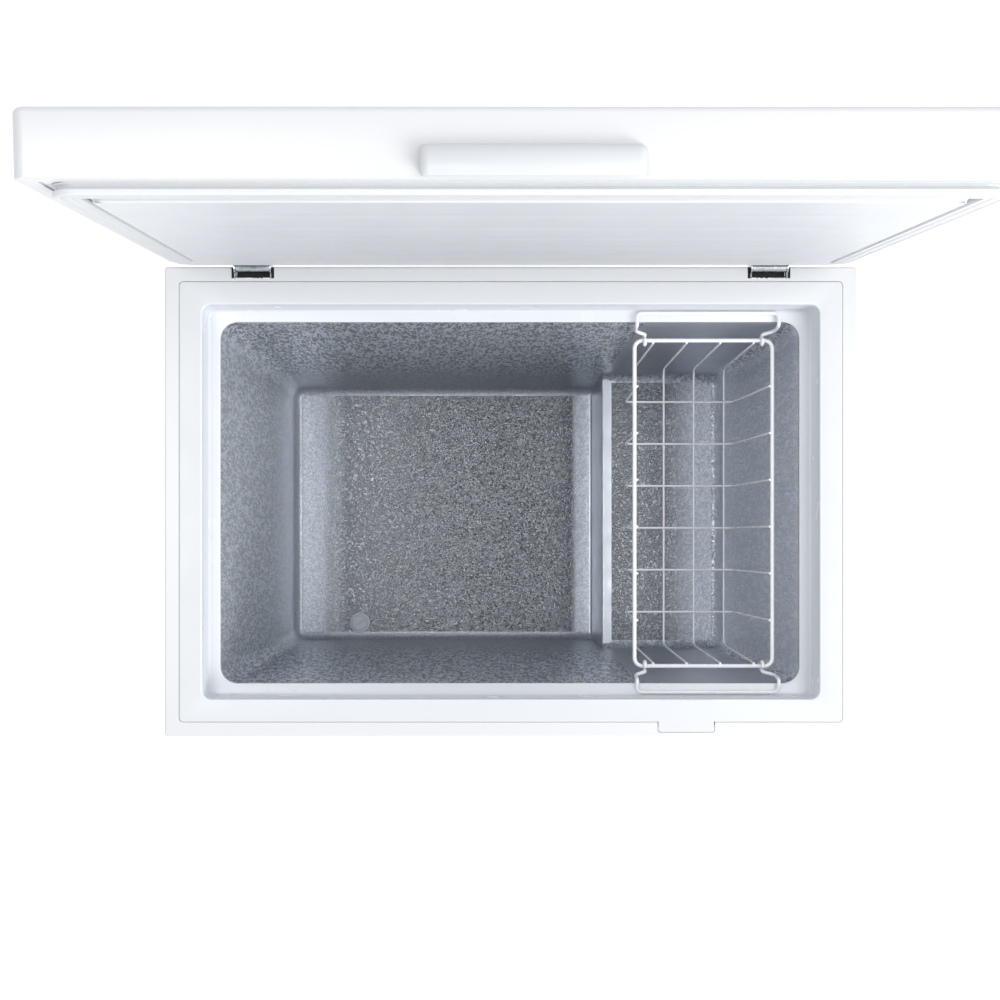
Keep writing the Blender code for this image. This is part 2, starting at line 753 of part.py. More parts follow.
def make_refrigerant_circuit(shop):
    start_y = COMPRESSOR_Y - COMPRESSOR_RADII[1] * 0.76
    left = COMPRESSOR_X - COMPRESSOR_RADII[0] * 0.66
    right = COMPRESSOR_X + COMPRESSOR_RADII[0] * 0.66
    tube_y = -INSIDE_Y + CONDENSER_ZONE / 2
    inlet_x = ROOM_X + 0.012

    discharge_z = tray_top() + 0.040
    discharge_end = Vector((inlet_x, tube_y, discharge_z))
    route = bent(
        [
            (left, start_y, discharge_z),
            (left, start_y - 0.060, discharge_z),
            (inlet_x, start_y - 0.100, discharge_z),
            (inlet_x, tube_y + 0.020, discharge_z),
            discharge_end,
        ],
        0.020,
    )
    shop.tube("discharge_tube", route, DISCHARGE_RADIUS, "copper")

    # condenser: level passes on the inside of the front wall
    passes = []
    run_left = -HALF_X + 0.030
    run_right = ROOM_X - 0.020
    for number in range(CONDENSER_PASSES):
        z = CONDENSER_FIRST + number * CONDENSER_PITCH
        ends = (run_right, run_left) if number % 2 == 0 else (run_left, run_right)
        passes += [(ends[0], tube_y, z), (ends[1], tube_y, z)]
    drier_top = 0.185
    return_x = DRIER_X
    passes[0] = (inlet_x, tube_y, CONDENSER_FIRST)
    passes[-1] = (return_x, tube_y, passes[-1][2])
    route = [(inlet_x, tube_y, discharge_z + GAP + DISCHARGE_RADIUS)] + passes
    route += [
        (return_x, tube_y, drier_top + 0.01),
        (return_x, tube_y + 0.030, drier_top),
        (return_x, DRIER_Y, drier_top),
        (return_x, DRIER_Y, drier_bottom() + DRIER_LENGTH + GAP),
    ]
    shop.tube("condenser_tube", bent(route, 0.015, 3), DISCHARGE_RADIUS, "copper")

    r = DRIER_RADIUS
    profile = [(0.0025, 0.0), (r, 0.010), (r, DRIER_LENGTH - 0.010), (0.0035, DRIER_LENGTH)]
    shop.turned("filter_drier", profile, "copper", sides=14, at=(DRIER_X, DRIER_Y, drier_bottom()))

    # evaporator: turns round the liner, ending over the chase
    wall_x = OPENING_X + LINER_SHEET + EVAPORATOR_GAP + EVAPORATOR_RADIUS
    wall_y = OPENING_Y + LINER_SHEET + EVAPORATOR_GAP + EVAPORATOR_RADIUS
    corner = OPENING_CORNER + LINER_SHEET + EVAPORATOR_RADIUS
    route = []
    turn = rounded_rectangle(wall_x, wall_y, corner, 0.0)
    for number in range(EVAPORATOR_TURNS):
        for step, (x, y, _) in enumerate(turn):
            z = EVAPORATOR_TOP - EVAPORATOR_PITCH * (number + step / len(turn))
            route.append((x, y, z))
    end = route[-1]
    join_z = ROOM_TOP + 0.012
    route += [(end[0], end[1] + 0.004, end[2] - 0.012), (end[0], end[1] + 0.004, join_z)]
    shop.tube("evaporator_tube", route, EVAPORATOR_RADIUS, "copper")

    suction_z = tray_top() + 0.090
    route = bent(
        [
            (right, start_y, suction_z),
            (right, start_y - 0.110, suction_z),
            (end[0], end[1] + 0.004, suction_z + 0.020),
            (end[0], end[1] + 0.004, join_z - GAP),
        ],
        0.025,
    )
    shop.tube("suction_tube", route, SUCTION_RADIUS, "copper")

    process_z = tray_top() + 0.050
    route = bent(
        [
            (right, start_y, process_z),
            (right, start_y - 0.045, process_z),
            (right, start_y - 0.070, process_z - 0.025),
        ],
        0.015,
    )
    shop.tube("process_tube", route, DISCHARGE_RADIUS, "copper")

    # capillary: from the foot of the drier up outside the evaporator turns to the first of them
    high_x = wall_x + EVAPORATOR_RADIUS + CAPILLARY_RADIUS + EVAPORATOR_GAP * 0.7
    first = turn[0]
    chase_y = -OPENING_Y + 0.025
    route = bent(
        [
            (DRIER_X, DRIER_Y, drier_bottom() - GAP),
            (DRIER_X, DRIER_Y, drier_bottom() - 0.025),
            (DRIER_X + 0.040, DRIER_Y - 0.030, drier_bottom() - 0.030),
            (high_x, chase_y, drier_bottom() + 0.020),
            (high_x, chase_y, EVAPORATOR_TOP + 0.010),
            (high_x, first[1] - 0.020, EVAPORATOR_TOP + 0.010),
            (high_x - 0.004, first[1] - 0.004, EVAPORATOR_TOP + 0.002),
        ],
        0.020,
    )
    shop.tube("capillary_tube", route, CAPILLARY_RADIUS, "copper", sides=5)


def drier_bottom():
    return PAN_TOP + 0.060


def make_side_grille(shop):
    y, z, half_y, half_z = grille_window()
    x = (HALF_X - 0.002, HALF_X)
    grille = shop.box(
        "side_grille",
        x,
        (y - half_y + GAP, y + half_y - GAP),
        (z - half_z + GAP, z + half_z - GAP),
        "white_plastic",
    )
    slots = []
    count = 9
    for number in range(count):
        centre = z + (number - (count - 1) / 2) * 0.012
        slots.append(
            shop.box(
                f"cut_side_grille_{number}",
                (HALF_X - 0.01, HALF_X + 0.01),
                (y - half_y + 0.010, y + half_y - 0.010),
                (centre - 0.003, centre + 0.003),
                "white_plastic",
            )
        )
    return combine(grille, "DIFFERENCE", *slots)


def make_rear_cover(shop):
    x_range, z_range = rear_cover_window()
    cover = shop.box("rear_cover", x_range, (INSIDE_Y, HALF_Y), z_range, "galvanised_steel")
    cuts = []
    for number in range(6):
        centre = z_range[1] - 0.024 - number * 0.014
        cuts.append(
            shop.box(
                f"cut_rear_cover_{number}",
                (x_range[0] + 0.018, x_range[1] - 0.018),
                (INSIDE_Y - 0.01, HALF_Y + 0.01),
                (centre - 0.0025, centre + 0.0025),
                "galvanised_steel",
            )
        )
    gland_at = (x_range[0] + 0.026, HALF_Y, z_range[0] + 0.026)
    upright = (math.radians(-90), 0.0, 0.0)
    cuts.append(
        shop.turned(
            "cut_rear_cover_gland",
            [(0.0080 + GAP, -0.01), (0.0080 + GAP, 0.01)],
            "galvanised_steel",
            at=gland_at,
            turn=upright,
        )
    )
    combine(cover, "DIFFERENCE", *cuts)
    flange = 0.0115
    profile = [
        (0.0045, -0.010),
        (0.0080, -0.010),
        (0.0080, GAP),
        (flange, GAP),
        (flange, 0.003),
        (0.0070, 0.009),
        (0.0045, 0.009),
    ]
    shop.turned("cord_gland", profile, "black_plastic", ring=True, at=gland_at, turn=upright)


# Controls


def make_controls(shop):
    depth = BEZEL_THICKNESS
    outline = rounded_rectangle(BEZEL_WIDTH / 2, BEZEL_HEIGHT / 2, 0.006, 0.0, (BEZEL_X, -BEZEL_Z), 3)
    flat = (math.radians(90), 0.0, 0.0)
    bezel = shop.prism(
        "control_bezel",
        [(x, -y) for x, y, _ in outline],
        (0.0, depth),
        "grey_plastic",
        at=(0.0, -HALF_Y - GAP, 0.0),
        turn=flat,
    )
    holes = []
    for name, x, radius in (("knob", KNOB_X, KNOB_SHAFT_RADIUS), ("lamp", LAMP_X, LAMP_RADIUS)):
        holes.append(
            shop.turned(
                "cut_bezel_" + name,
                [(radius + GAP, -0.01), (radius + GAP, 0.02)],
                "grey_plastic",
                at=(x, -HALF_Y - GAP, BEZEL_Z),
                turn=flat,
            )
        )
    combine(bezel, "DIFFERENCE", *holes)

    width, deep, height = THERMOSTAT_SIZE
    body_front = -HALF_Y + 0.012
    body = shop.box(
        "thermostat_body",
        (KNOB_X - width / 2, KNOB_X + width / 2),
        (body_front, body_front + deep),
        (BEZEL_Z - height / 2, BEZEL_Z + height / 2),
        "black_plastic",
    )
    socket = shop.turned(
        "cut_thermostat_shaft",
        [(KNOB_SHAFT_RADIUS + GAP, -0.006), (KNOB_SHAFT_RADIUS + GAP, 0.02)],
        "black_plastic",
        at=(KNOB_X, body_front, BEZEL_Z),
        turn=flat,
    )
    combine(body, "DIFFERENCE", socket)

    lamp = [
        (LAMP_RADIUS * 0.9, -0.014),
        (LAMP_RADIUS, -0.012),
        (LAMP_RADIUS, depth + 0.0005),
        (LAMP_RADIUS * 0.6, depth + 0.0018),
    ]
    shop.turned("power_lamp", lamp, "green_lens", sides=14, at=(LAMP_X, -HALF_Y - GAP, BEZEL_Z), turn=flat)

    # knob with its shaft, turned about its own axis, and a raised pointer bar
    knob_at = (KNOB_X, BEZEL_FRONT - GAP, BEZEL_Z)
    shaft_end = -(body_front - (BEZEL_FRONT - GAP)) - 0.004
    profile = [
        (KNOB_SHAFT_RADIUS, shaft_end),
        (KNOB_SHAFT_RADIUS, 0.0),
        (KNOB_RADIUS, 0.0),
        (KNOB_RADIUS * 0.94, KNOB_DEPTH * 0.30),
        (KNOB_RADIUS * 0.88, KNOB_DEPTH * 0.68),
        (KNOB_RADIUS * 0.82, KNOB_DEPTH * 0.75),
    ]
    knob = shop.turned("thermostat_knob", profile, "white_plastic", sides=24, at=knob_at, turn=flat)
    pointer = shop.box(
        "join_knob_pointer",
        (-0.0028, 0.0028),
        (-KNOB_RADIUS * 0.78, KNOB_RADIUS * 0.78),
        (KNOB_DEPTH * 0.5, KNOB_DEPTH),
        "white_plastic",
        at=knob_at,
        turn=flat,
    )
    combine(knob, "UNION", pointer)


# Drain


def drain_route(top_z, outlet_y):
    """Down from the liner's floor, forward and out at the front."""
    top = (DRAIN_X, DRAIN_Y, top_z)
    corner = (DRAIN_X, DRAIN_Y, DRAIN_OUTLET_Z)
    return bent([top, corner, (DRAIN_X, outlet_y, DRAIN_OUTLET_Z)], DRAIN_BEND, 5)


def make_drain(shop):
    r = DRAIN_FLANGE_RADIUS
    at = (DRAIN_X, DRAIN_Y, WELL_FLOOR)
    neck = DRAIN_BORE + 0.0014
    profile = [
        (DRAIN_BORE, -0.004),
        (neck, -0.004),
        (neck, GAP),
        (r, GAP),
        (r - 0.0008, 0.0016),
        (r - 0.0028, 0.0022),
        (DRAIN_BORE, 0.0022),
    ]
    shop.turned("drain_flange", profile, "white_plastic", ring=True, at=at)

    plug_radius = r - 0.0033
    plug_profile = [
        (DRAIN_BORE - 0.0006, -0.003),
        (DRAIN_BORE - GAP, 0.0022 + GAP),
        (plug_radius, 0.0022 + GAP),
        (plug_radius, 0.0042),
        (plug_radius - 0.001, 0.0050),
    ]
    plug = shop.turned("drain_plug", plug_profile, "white_plastic", at=at)
    slot = shop.box(
        "cut_plug_slot",
        (-plug_radius * 0.72, plug_radius * 0.72),
        (-0.0012, 0.0012),
        (0.0034, 0.010),
        "white_plastic",
        at=at,
        turn=(0.0, 0.0, math.radians(20)),
    )
    combine(plug, "DIFFERENCE", slot)

    radius = DRAIN_TUBE_RADIUS
    route = drain_route(WELL_FLOOR - 0.004 - GAP * 2, -HALF_Y - 0.004)
    outer = sweep(route, radius, 14, False)
    inner = sweep(route, radius - 0.002, 14, False)
    shop.loft("drain_tube", outer + inner[::-1], "white_plastic", ring=True, smooth=True)

    # screw-off cap over the outlet
    cap = DRAIN_CAP_RADIUS
    bore = radius + GAP
    flat = (math.radians(90), 0.0, 0.0)
    profile = [
        (cap, GAP),
        (cap, 0.009),
        (cap - 0.0015, 0.0105),
        (0.002, 0.0105),
        (0.002, 0.004 + GAP * 2),
        (bore, 0.004 + GAP * 2),
        (bore, GAP),
    ]
    cap_at = (DRAIN_X, -HALF_Y, DRAIN_OUTLET_Z)
    shop.turned("drain_cap", profile, "grey_plastic", sides=24, ring=True, at=cap_at, turn=flat)


def make_feet(shop):
    x = HALF_X - FOOT_INSET
    y = HALF_Y - FOOT_INSET
    places = (("front_left", -x, -y), ("front_right", x, -y), ("rear_left", -x, y), ("rear_right", x, y))
    top = FOOT_HEIGHT - GAP
    profile = [
        (FOOT_RADIUS - 0.002, 0.0),
        (FOOT_RADIUS, 0.002),
        (FOOT_RADIUS, 0.008),
        (FOOT_RADIUS * 0.62, 0.011),
        (FOOT_RADIUS * 0.62, top),
    ]
    for name, foot_x, foot_y in places:
        shop.turned("foot_" + name, profile, "black_plastic", at=(foot_x, foot_y, 0.0))


# Hinges


def channel_front():
    return HALF_Y - NOTCH_DEPTH + GAP


def make_hinge(shop, lid_shop, side, name):
    centre = side * HINGE_SPREAD
    w, t = CHANNEL_HALF, CHANNEL_SHEET
    front = channel_front()
    panel = HALF_Y + GAP
    wide = w + t + CHANNEL_FLANGE
    bottom = HINGE_Z - CHANNEL_LENGTH
    shoulder = HINGE_Z - 0.016
    outline = [
        (-wide, panel),
        (-w - t, panel),
        (-w - t, front),
        (w + t, front),
        (w + t, panel),
        (wide, panel),
        (wide, panel + t),
        (w, panel + t),
        (w, front + t),
        (-w, front + t),
        (-w, panel + t),
        (-wide, panel + t),
    ]
    outline = [(centre + x, y) for x, y in outline]
    body = shop.prism("hinge_body_" + name, outline, (bottom, shoulder), "zinc_steel")
    ear_radius = 0.0062
    joins, cuts = [], []
    for ear, x in (("a", centre - w - t), ("b", centre + w)):
        arc = [math.radians(180 * i / 8) for i in range(9)]
        rounded = [(HINGE_Y + ear_radius * math.cos(a), HINGE_Z + ear_radius * math.sin(a)) for a in arc]
        ear_outline = rounded + [(front, HINGE_Z), (front, shoulder - 0.004), (panel + t, shoulder - 0.004)]
        ear_outline.append((HINGE_Y + ear_radius, HINGE_Z - 0.006))
        loops = [[(px, y, z) for y, z in ear_outline] for px in (x, x + t)]
        joins.append(shop.loft(f"join_hinge_ear_{name}_{ear}", loops, "zinc_steel"))
    joins.append(
        shop.box(
            "join_hinge_seat_" + name,
            (centre - w - t, centre + w + t),
            (front, panel + t),
            (bottom, bottom + t),
            "zinc_steel",
        )
    )
    across = (0.0, math.radians(90), 0.0)
    pin_at = (centre, HINGE_Y, HINGE_Z)
    reach = w + t
    cuts.append(
        shop.turned(
            "cut_hinge_bore_" + name,
            [(PIN_RADIUS + GAP, -0.03), (PIN_RADIUS + GAP, 0.03)],
            "zinc_steel",
            sides=16,
            at=pin_at,
            turn=across,
        )
    )
    screw_x = w + t + CHANNEL_FLANGE * 0.55
    for number, (x, z) in enumerate(((-screw_x, bottom + 0.018), (screw_x, shoulder - 0.018)), 1):
        outward = (math.radians(-90), 0.0, 0.0)
        at = (centre + x, panel + t, z)
        cuts.append(
            shop.turned(
                f"cut_hinge_screw_{name}_{number}",
                [(SCREW_RADIUS + GAP, -0.005), (SCREW_RADIUS + GAP, 0.005)],
                "zinc_steel",
                sides=10,
                at=at,
                turn=outward,
            )
        )
        make_screw(shop, f"hinge_screw_{name}_{number}", at, outward, t)
    combine(body, "UNION", *joins)
    combine(body, "DIFFERENCE", *cuts)

    pin_profile = [(PIN_RADIUS, -reach), (PIN_RADIUS, reach)]
    shop.turned("hinge_pin_" + name, pin_profile, "zinc_steel", sides=16, at=pin_at, turn=across)

    # spring standing in the channel
    low = bottom + t + GAP
    high = shoulder - 0.002
    steps = SPRING_TURNS * 8
    spring_y = front + t + GAP + SPRING_RADIUS + SPRING_WIRE
    coil = []
    for step in range(steps + 1):
        angle = 2 * math.pi * step / 8
        z = low + SPRING_WIRE + (high - low - 2 * SPRING_WIRE) * step / steps
        coil.append(
            (centre + SPRING_RADIUS * math.cos(angle), spring_y + SPRING_RADIUS * math.sin(angle), z)
        )
    shop.tube("hinge_spring_" + name, coil, SPRING_WIRE, "spring_steel", sides=5)

    # leaf on the lid: a knuckle round the pin and a plate under the lid
    leaf_half = w - GAP * 2
    leaf = lid_shop.turned(
        "hinge_leaf_" + name,
        [
            (PIN_RADIUS + GAP, -leaf_half),
            (KNUCKLE_RADIUS, -leaf_half),
            (KNUCKLE_RADIUS, leaf_half),
            (PIN_RADIUS + GAP, leaf_half),
        ],
        "zinc_steel",
        sides=16,
        ring=True,
        at=pin_at,
        turn=across,
    )
    plate_bottom = HINGE_Z + KNUCKLE_RADIUS - 0.0008
    plate_top = LID_BOTTOM - GAP
    plate = lid_shop.box(
        "join_leaf_plate_" + name,
        (centre - leaf_half, centre + leaf_half),
        (HINGE_Y - 0.0035, LID_REAR - 0.0025),
        (plate_bottom, plate_top),
        "zinc_steel",
    )
    combine(leaf, "UNION", plate)
    thickness = plate_top - plate_bottom
    for number, x in enumerate((-0.010, 0.010), 1):
        at = (centre + x, HINGE_Y + LID_OVERHANG * 0.62, plate_bottom)
        downward = (math.radians(180), 0.0, 0.0)
        cutter = lid_shop.turned(
            f"cut_leaf_screw_{name}_{number}",
            [(SCREW_RADIUS + GAP, -0.006), (SCREW_RADIUS + GAP, 0.005)],
            "zinc_steel",
            sides=10,
            at=at,
            turn=downward,
        )
        combine(leaf, "DIFFERENCE", cutter)
        make_screw(lid_shop, f"leaf_screw_{name}_{number}", at, downward, thickness)


def make_screw(shop, name, at, turn, plate):
    """Pan-head screw: its head stands on the plate and its shank passes through it."""
    profile = [
        (SCREW_RADIUS, -plate + GAP),
        (SCREW_RADIUS, GAP),
        (SCREW_HEAD_RADIUS, GAP),
        (SCREW_HEAD_RADIUS, GAP + SCREW_HEAD_HEIGHT * 0.5),
        (SCREW_HEAD_RADIUS * 0.6, GAP + SCREW_HEAD_HEIGHT),
    ]
    shop.turned(name, profile, "zinc_steel", sides=10, at=at, turn=turn)


# Lid


def lid_loop(inset, z, corner=LID_CORNER):
    radius = max(corner - inset, 0.001)
    centre = (0.0, LID_CENTRE_Y)
    return rounded_rectangle(HALF_X - inset, LID_HALF_Y - inset, radius, z, centre)


def plug_loop(grow, z):
    """The raised middle of the lid's liner, which drops inside the rim."""
    half_x = RECESS_X - PLUG_INSET + grow
    half_y = RECESS_Y - PLUG_INSET + grow
    return rounded_rectangle(half_x, half_y, RECESS_CORNER + grow, z)


def make_lid(shop):
    edge = LID_EDGE
    skirt = LID_BOTTOM + SHEET
    shift = edge * (1 - math.cos(math.radians(45)))
    outer = [
        lid_loop(edge, LID_TOP),
        lid_loop(shift, LID_TOP - shift),
        lid_loop(0.0, LID_TOP - edge),
        lid_loop(0.0, LID_BOTTOM),
        lid_loop(LID_RETURN, LID_BOTTOM),
        lid_loop(LID_RETURN, skirt),
        lid_loop(SHEET, skirt),
        lid_loop(SHEET, LID_TOP - edge),
        lid_loop(edge, LID_TOP - SHEET),
    ]
    shop.loft("lid_outer_panel", outer, "white_steel")

    border_low = skirt + GAP
    border_top = border_low + LID_SKIN
    plug_low = border_low - PLUG_DEPTH
    slope = PLUG_SLOPE
    liner = [
        plug_loop(0.0, plug_low),
        plug_loop(slope, border_low),
        lid_loop(SHEET * 2, border_low),
        lid_loop(SHEET * 2, border_top),
        plug_loop(slope, border_top),
        plug_loop(0.0, plug_low + LID_SKIN),
    ]
    shop.loft("lid_inner_liner", liner, "lid_liner_plastic")

    foam = [
        plug_loop(-GAP, plug_low + LID_SKIN + GAP),
        plug_loop(slope - GAP, border_top + GAP),
        lid_loop(SHEET + GAP, border_top + GAP),
        lid_loop(SHEET + GAP, LID_TOP - edge),
        lid_loop(edge, LID_TOP - SHEET - GAP),
    ]
    shop.loft("lid_foam", foam, "foam")

    # gasket: a soft hollow bead drawn as one ring with a rounded face towards the rim
    high = border_low - GAP
    low = RIM_HEIGHT + GAP
    mid_x = HALF_X - GASKET_INSET
    mid_y = HALF_Y - GASKET_INSET
    half = GASKET_WIDTH / 2
    section = [(-half, high), (-half * 0.9, low + 0.0015), (-half * 0.6, low), (half * 0.6, low)]
    section += [(half * 0.9, low + 0.0015), (half, high)]
    ring = [rounded_rectangle(mid_x + off, mid_y + off, 0.012 + off, z) for off, z in section]
    shop.loft("lid_gasket", ring, "gasket_vinyl", ring=True)

    # grip along the middle of the front edge
    front = -HALF_Y - GAP
    top = LID_BOTTOM + HANDLE_HEIGHT
    outline = [
        (front, LID_BOTTOM),
        (front, top),
        (front - HANDLE_REACH * 0.35, top - 0.001),
        (front - HANDLE_REACH * 0.85, top - 0.008),
        (front - HANDLE_REACH, LID_BOTTOM + 0.004),
        (front - HANDLE_REACH + 0.003, LID_BOTTOM),
        (front - HANDLE_REACH * 0.55, LID_BOTTOM + 0.006),
    ]
    loops = [[(x, y, z) for y, z in outline] for x in (-HANDLE_WIDTH / 2, HANDLE_WIDTH / 2)]
    shop.loft("lid_handle", loops, "white_plastic")


# Basket


def make_basket(shop):
    ring = rounded_rectangle(BASKET_HALF_X, BASKET_HALF_DEPTH, RAIL_CORNER, RAIL_Z, (BASKET_X, 0.0))
    basket = shop.tube("basket", ring, RAIL_WIRE, "coated_wire", sides=8, cyclic=True)
    inset = RAIL_WIRE + THIN_WIRE - WELD_BITE
    top = RAIL_Z + 0.0006
    wires = []
    for number in range(LONG_WIRES):
        x = BASKET_X + (number - (LONG_WIRES - 1) / 2) * LONG_WIRE_PITCH
        y_top = BASKET_HALF_DEPTH - inset
        y_low = BASKET_HALF_DEPTH - BASKET_TAPER_Y
        corners = [(x, y_top, top), (x, y_low, BASKET_FLOOR), (x, -y_low, BASKET_FLOOR), (x, -y_top, top)]
        wires.append(shop.tube(f"join_long_wire_{number}", bent(corners, 0.010, 3), THIN_WIRE, "coated_wire"))
    floor = BASKET_FLOOR + 2 * THIN_WIRE - WELD_BITE
    for number in range(CROSS_WIRES):
        y = (number - (CROSS_WIRES - 1) / 2) * CROSS_WIRE_PITCH
        high = BASKET_HALF_X - inset
        low = BASKET_HALF_X - BASKET_TAPER_X
        corners = [
            (BASKET_X - high, y, top),
            (BASKET_X - low, y, floor),
            (BASKET_X + low, y, floor),
            (BASKET_X + high, y, top),
        ]
        wire = bent(corners, 0.010, 3)
        wires.append(shop.tube(f"join_cross_wire_{number}", wire, THIN_WIRE, "coated_wire"))
    combine(basket, "UNION", *wires)

    for side, name in ((1, "rear"), (-1, "front")):
        make_bail(shop, side, name)


def make_bail(shop, side, name):
    """Wire handle whose eyes turn on the end rail and whose grip lies on the cabinet's ledge."""
    eye = RAIL_WIRE + BAIL_EYE_CLEARANCE + BAIL_WIRE
    ledge = LEDGE_Z - RAIL_Z
    lip = OPENING_Y - BASKET_HALF_DEPTH
    right = BASKET_HALF_X + BAIL_SPREAD
    eye_x = BASKET_HALF_X - BAIL_EYE_INSET
    shoulder = Vector((right, lip - BAIL_WIRE - 0.0025, ledge + BAIL_LIFT))
    grip = Vector((right, BAIL_REACH, ledge + BAIL_WIRE + GAP))
    lean = math.atan2(shoulder.z, shoulder.y)
    # the eye runs from the top of the rail round its inner side and under it
    half = []
    steps = 9
    for step in range(steps + 1):
        angle = lean - math.radians(90 + BAIL_EYE_TURN * (1 - step / steps))
        half.append(Vector((eye_x, eye * math.cos(angle), eye * math.sin(angle))))
    along = Vector((0.0, math.cos(lean), math.sin(lean)))
    leave = half[-1]
    jog = leave + along * 0.013
    jog.x = right
    corners = [leave, leave + along * 0.005, jog, shoulder, grip, Vector((0.0, grip.y, grip.z))]
    half = half[:-1] + bent(corners, 0.006, 3)
    route = half[:-1] + [Vector((-p[0], p[1], p[2])) for p in reversed(half[:-1])]
    route = [(p[0], side * p[1], p[2]) for p in route]
    at = (BASKET_X, side * BASKET_HALF_DEPTH, RAIL_Z)
    return shop.tube("basket_bail_" + name, route, BAIL_WIRE, "coated_wire", sides=8, at=at)


def main():
    clear_scene()
    materials = make_materials()
    datum = empty("cabinet_datum", (0.0, CABINET_Y, 0.0))
    cabinet = Shop(datum, materials)
    turn = (-math.radians(LID_OPEN_ANGLE), 0.0, 0.0)
    lid_axis = empty("lid_axis", (0.0, HINGE_Y, HINGE_Z), datum, turn)
    lid = Shop(lid_axis, materials, (0.0, -HINGE_Y, -HINGE_Z))

    make_wrapper(cabinet)
    make_breaker_frame(cabinet)
    make_liner(cabinet)
    make_foam(cabinet)
    make_base_pan(cabinet)
    make_back_panel(cabinet)
    make_room_panel(cabinet)
    make_compressor(cabinet)
    make_relay_cover(cabinet)
    make_refrigerant_circuit(cabinet)
    make_side_grille(cabinet)
    make_rear_cover(cabinet)
    make_controls(cabinet)
    make_drain(cabinet)
    make_feet(cabinet)
    for side, name in ((-1, "left"), (1, "right")):
        make_hinge(cabinet, lid, side, name)
    make_lid(lid)
    make_basket(cabinet)


main()
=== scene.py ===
"""Looks of the chest freezer: one operator per group of pieces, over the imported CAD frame.

Metres, in the frame's own axes: +Z up, +X to the right, -Y to the front.
"""

import json
import math

import bmesh
import bpy
from bpy.props import FloatProperty, FloatVectorProperty, PointerProperty
from mathutils import Matrix, Vector


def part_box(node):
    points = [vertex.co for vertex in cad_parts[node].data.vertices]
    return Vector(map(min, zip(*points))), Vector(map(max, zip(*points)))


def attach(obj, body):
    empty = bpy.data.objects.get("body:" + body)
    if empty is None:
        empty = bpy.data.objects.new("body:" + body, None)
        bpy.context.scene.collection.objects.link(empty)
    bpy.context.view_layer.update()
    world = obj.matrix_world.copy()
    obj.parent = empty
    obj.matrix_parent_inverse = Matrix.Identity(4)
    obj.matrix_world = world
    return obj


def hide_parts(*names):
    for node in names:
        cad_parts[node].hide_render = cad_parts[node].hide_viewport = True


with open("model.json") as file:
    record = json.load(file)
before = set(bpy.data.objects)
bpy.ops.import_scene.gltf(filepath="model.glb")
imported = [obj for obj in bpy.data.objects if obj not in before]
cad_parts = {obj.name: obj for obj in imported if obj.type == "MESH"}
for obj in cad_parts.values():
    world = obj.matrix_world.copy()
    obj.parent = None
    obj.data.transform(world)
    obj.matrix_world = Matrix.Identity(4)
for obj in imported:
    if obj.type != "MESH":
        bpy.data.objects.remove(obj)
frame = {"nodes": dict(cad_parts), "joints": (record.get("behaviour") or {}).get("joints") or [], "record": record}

bl_info = {
    "name": "Chest freezer",
    "version": (1, 0, 0),
    "blender": (4, 5, 0),
    "location": "View3D > Sidebar > Freezer",
    "description": "Builds a chest freezer with its stage, one group of pieces at a time",
    "category": "Add Mesh",
}

GAP = 0.0003  # between solids that nearly touch
SHEET = 0.001  # thickness of the lid's steel skin
NEAR = 1e-6  # points closer than this are one point


def linear(code):
    """A six-digit sRGB hex code as linear red, green and blue."""
    shares = [int(code[i:i + 2], 16) / 255 for i in (0, 2, 4)]
    return tuple(s / 12.92 if s <= 0.04045 else ((s + 0.055) / 1.055) ** 2.4 for s in shares)


def size(name, default, description):
    return FloatProperty(
        name=name, default=default, description=description, min=0.0001, subtype="DISTANCE", unit="LENGTH"
    )


def colour(name, code, description):
    return FloatVectorProperty(
        name=name, default=linear(code), description=description, subtype="COLOR", min=0.0, max=1.0
    )


class FreezerSizes(bpy.types.PropertyGroup):
    frame_band: size("Frame band", 0.025, "Width of the flat top of the plastic rim frame")
    ledge_drop: size("Ledge drop", 0.035, "Depth of the ledge below the rim")
    ledge_width: size("Ledge width", 0.0135, "Width of the ledge inside the rim")
    recess_corner: size("Recess corner", 0.010, "Corner radius of the recess above the ledge")
    opening_corner: size("Opening corner", 0.019, "Corner radius of the opening and of the liner")
    step_x: size("Step", 0.150, "Distance of the step wall right of the middle")
    step_floor: size("Step floor", 0.271, "Height of the shallow well's floor")
    well_floor: size("Well floor", 0.085, "Height of the deep well's floor")
    floor_fillet: size("Floor fillet", 0.012, "Radius where the liner's walls turn into its floor")
    nosing: size("Step nosing", 0.0035, "Radius of the folded edge on the step")
    basket_height: size("Basket height", 0.181, "Height of the basket below its rail")
    rail_wire: size("Rail wire", 0.00225, "Radius of the basket's rail wire")
    thin_wire: size("Thin wire", 0.00125, "Radius of the basket's thin wires")
    bail_wire: size("Bail wire", 0.0020, "Radius of the basket's handles")


class FreezerColours(bpy.types.PropertyGroup):
    steel: colour("Steel coat", "DEDFE1", "Powder coat of the cabinet and lid")
    plastic: colour("White plastic", "DADCDF", "Moulded rim frame, handle and bezel")
    # painted light: lighter than the white plastic, standing for the light on the recess walls, the lid's border
    # and the drain
    recess: colour("Recess plastic", "E2E5EA", "Polished recess of the rim frame and border of the lid")
    liner: colour("Lid liner", "DBDDE1", "Formed sheet inside the lid")
    aluminium: colour("Aluminium", "DDE2EA", "Embossed and rolled sheet of the well")
    wire: colour("Wire coat", "F4F5F7", "Dipped coat of the basket")
    floor: colour("Studio floor", "F7F7F8", "Floor under the freezer")


def sizes():
    return bpy.context.scene.freezer_sizes


def colours():
    return bpy.context.scene.freezer_colours


# Where things are, from the frame


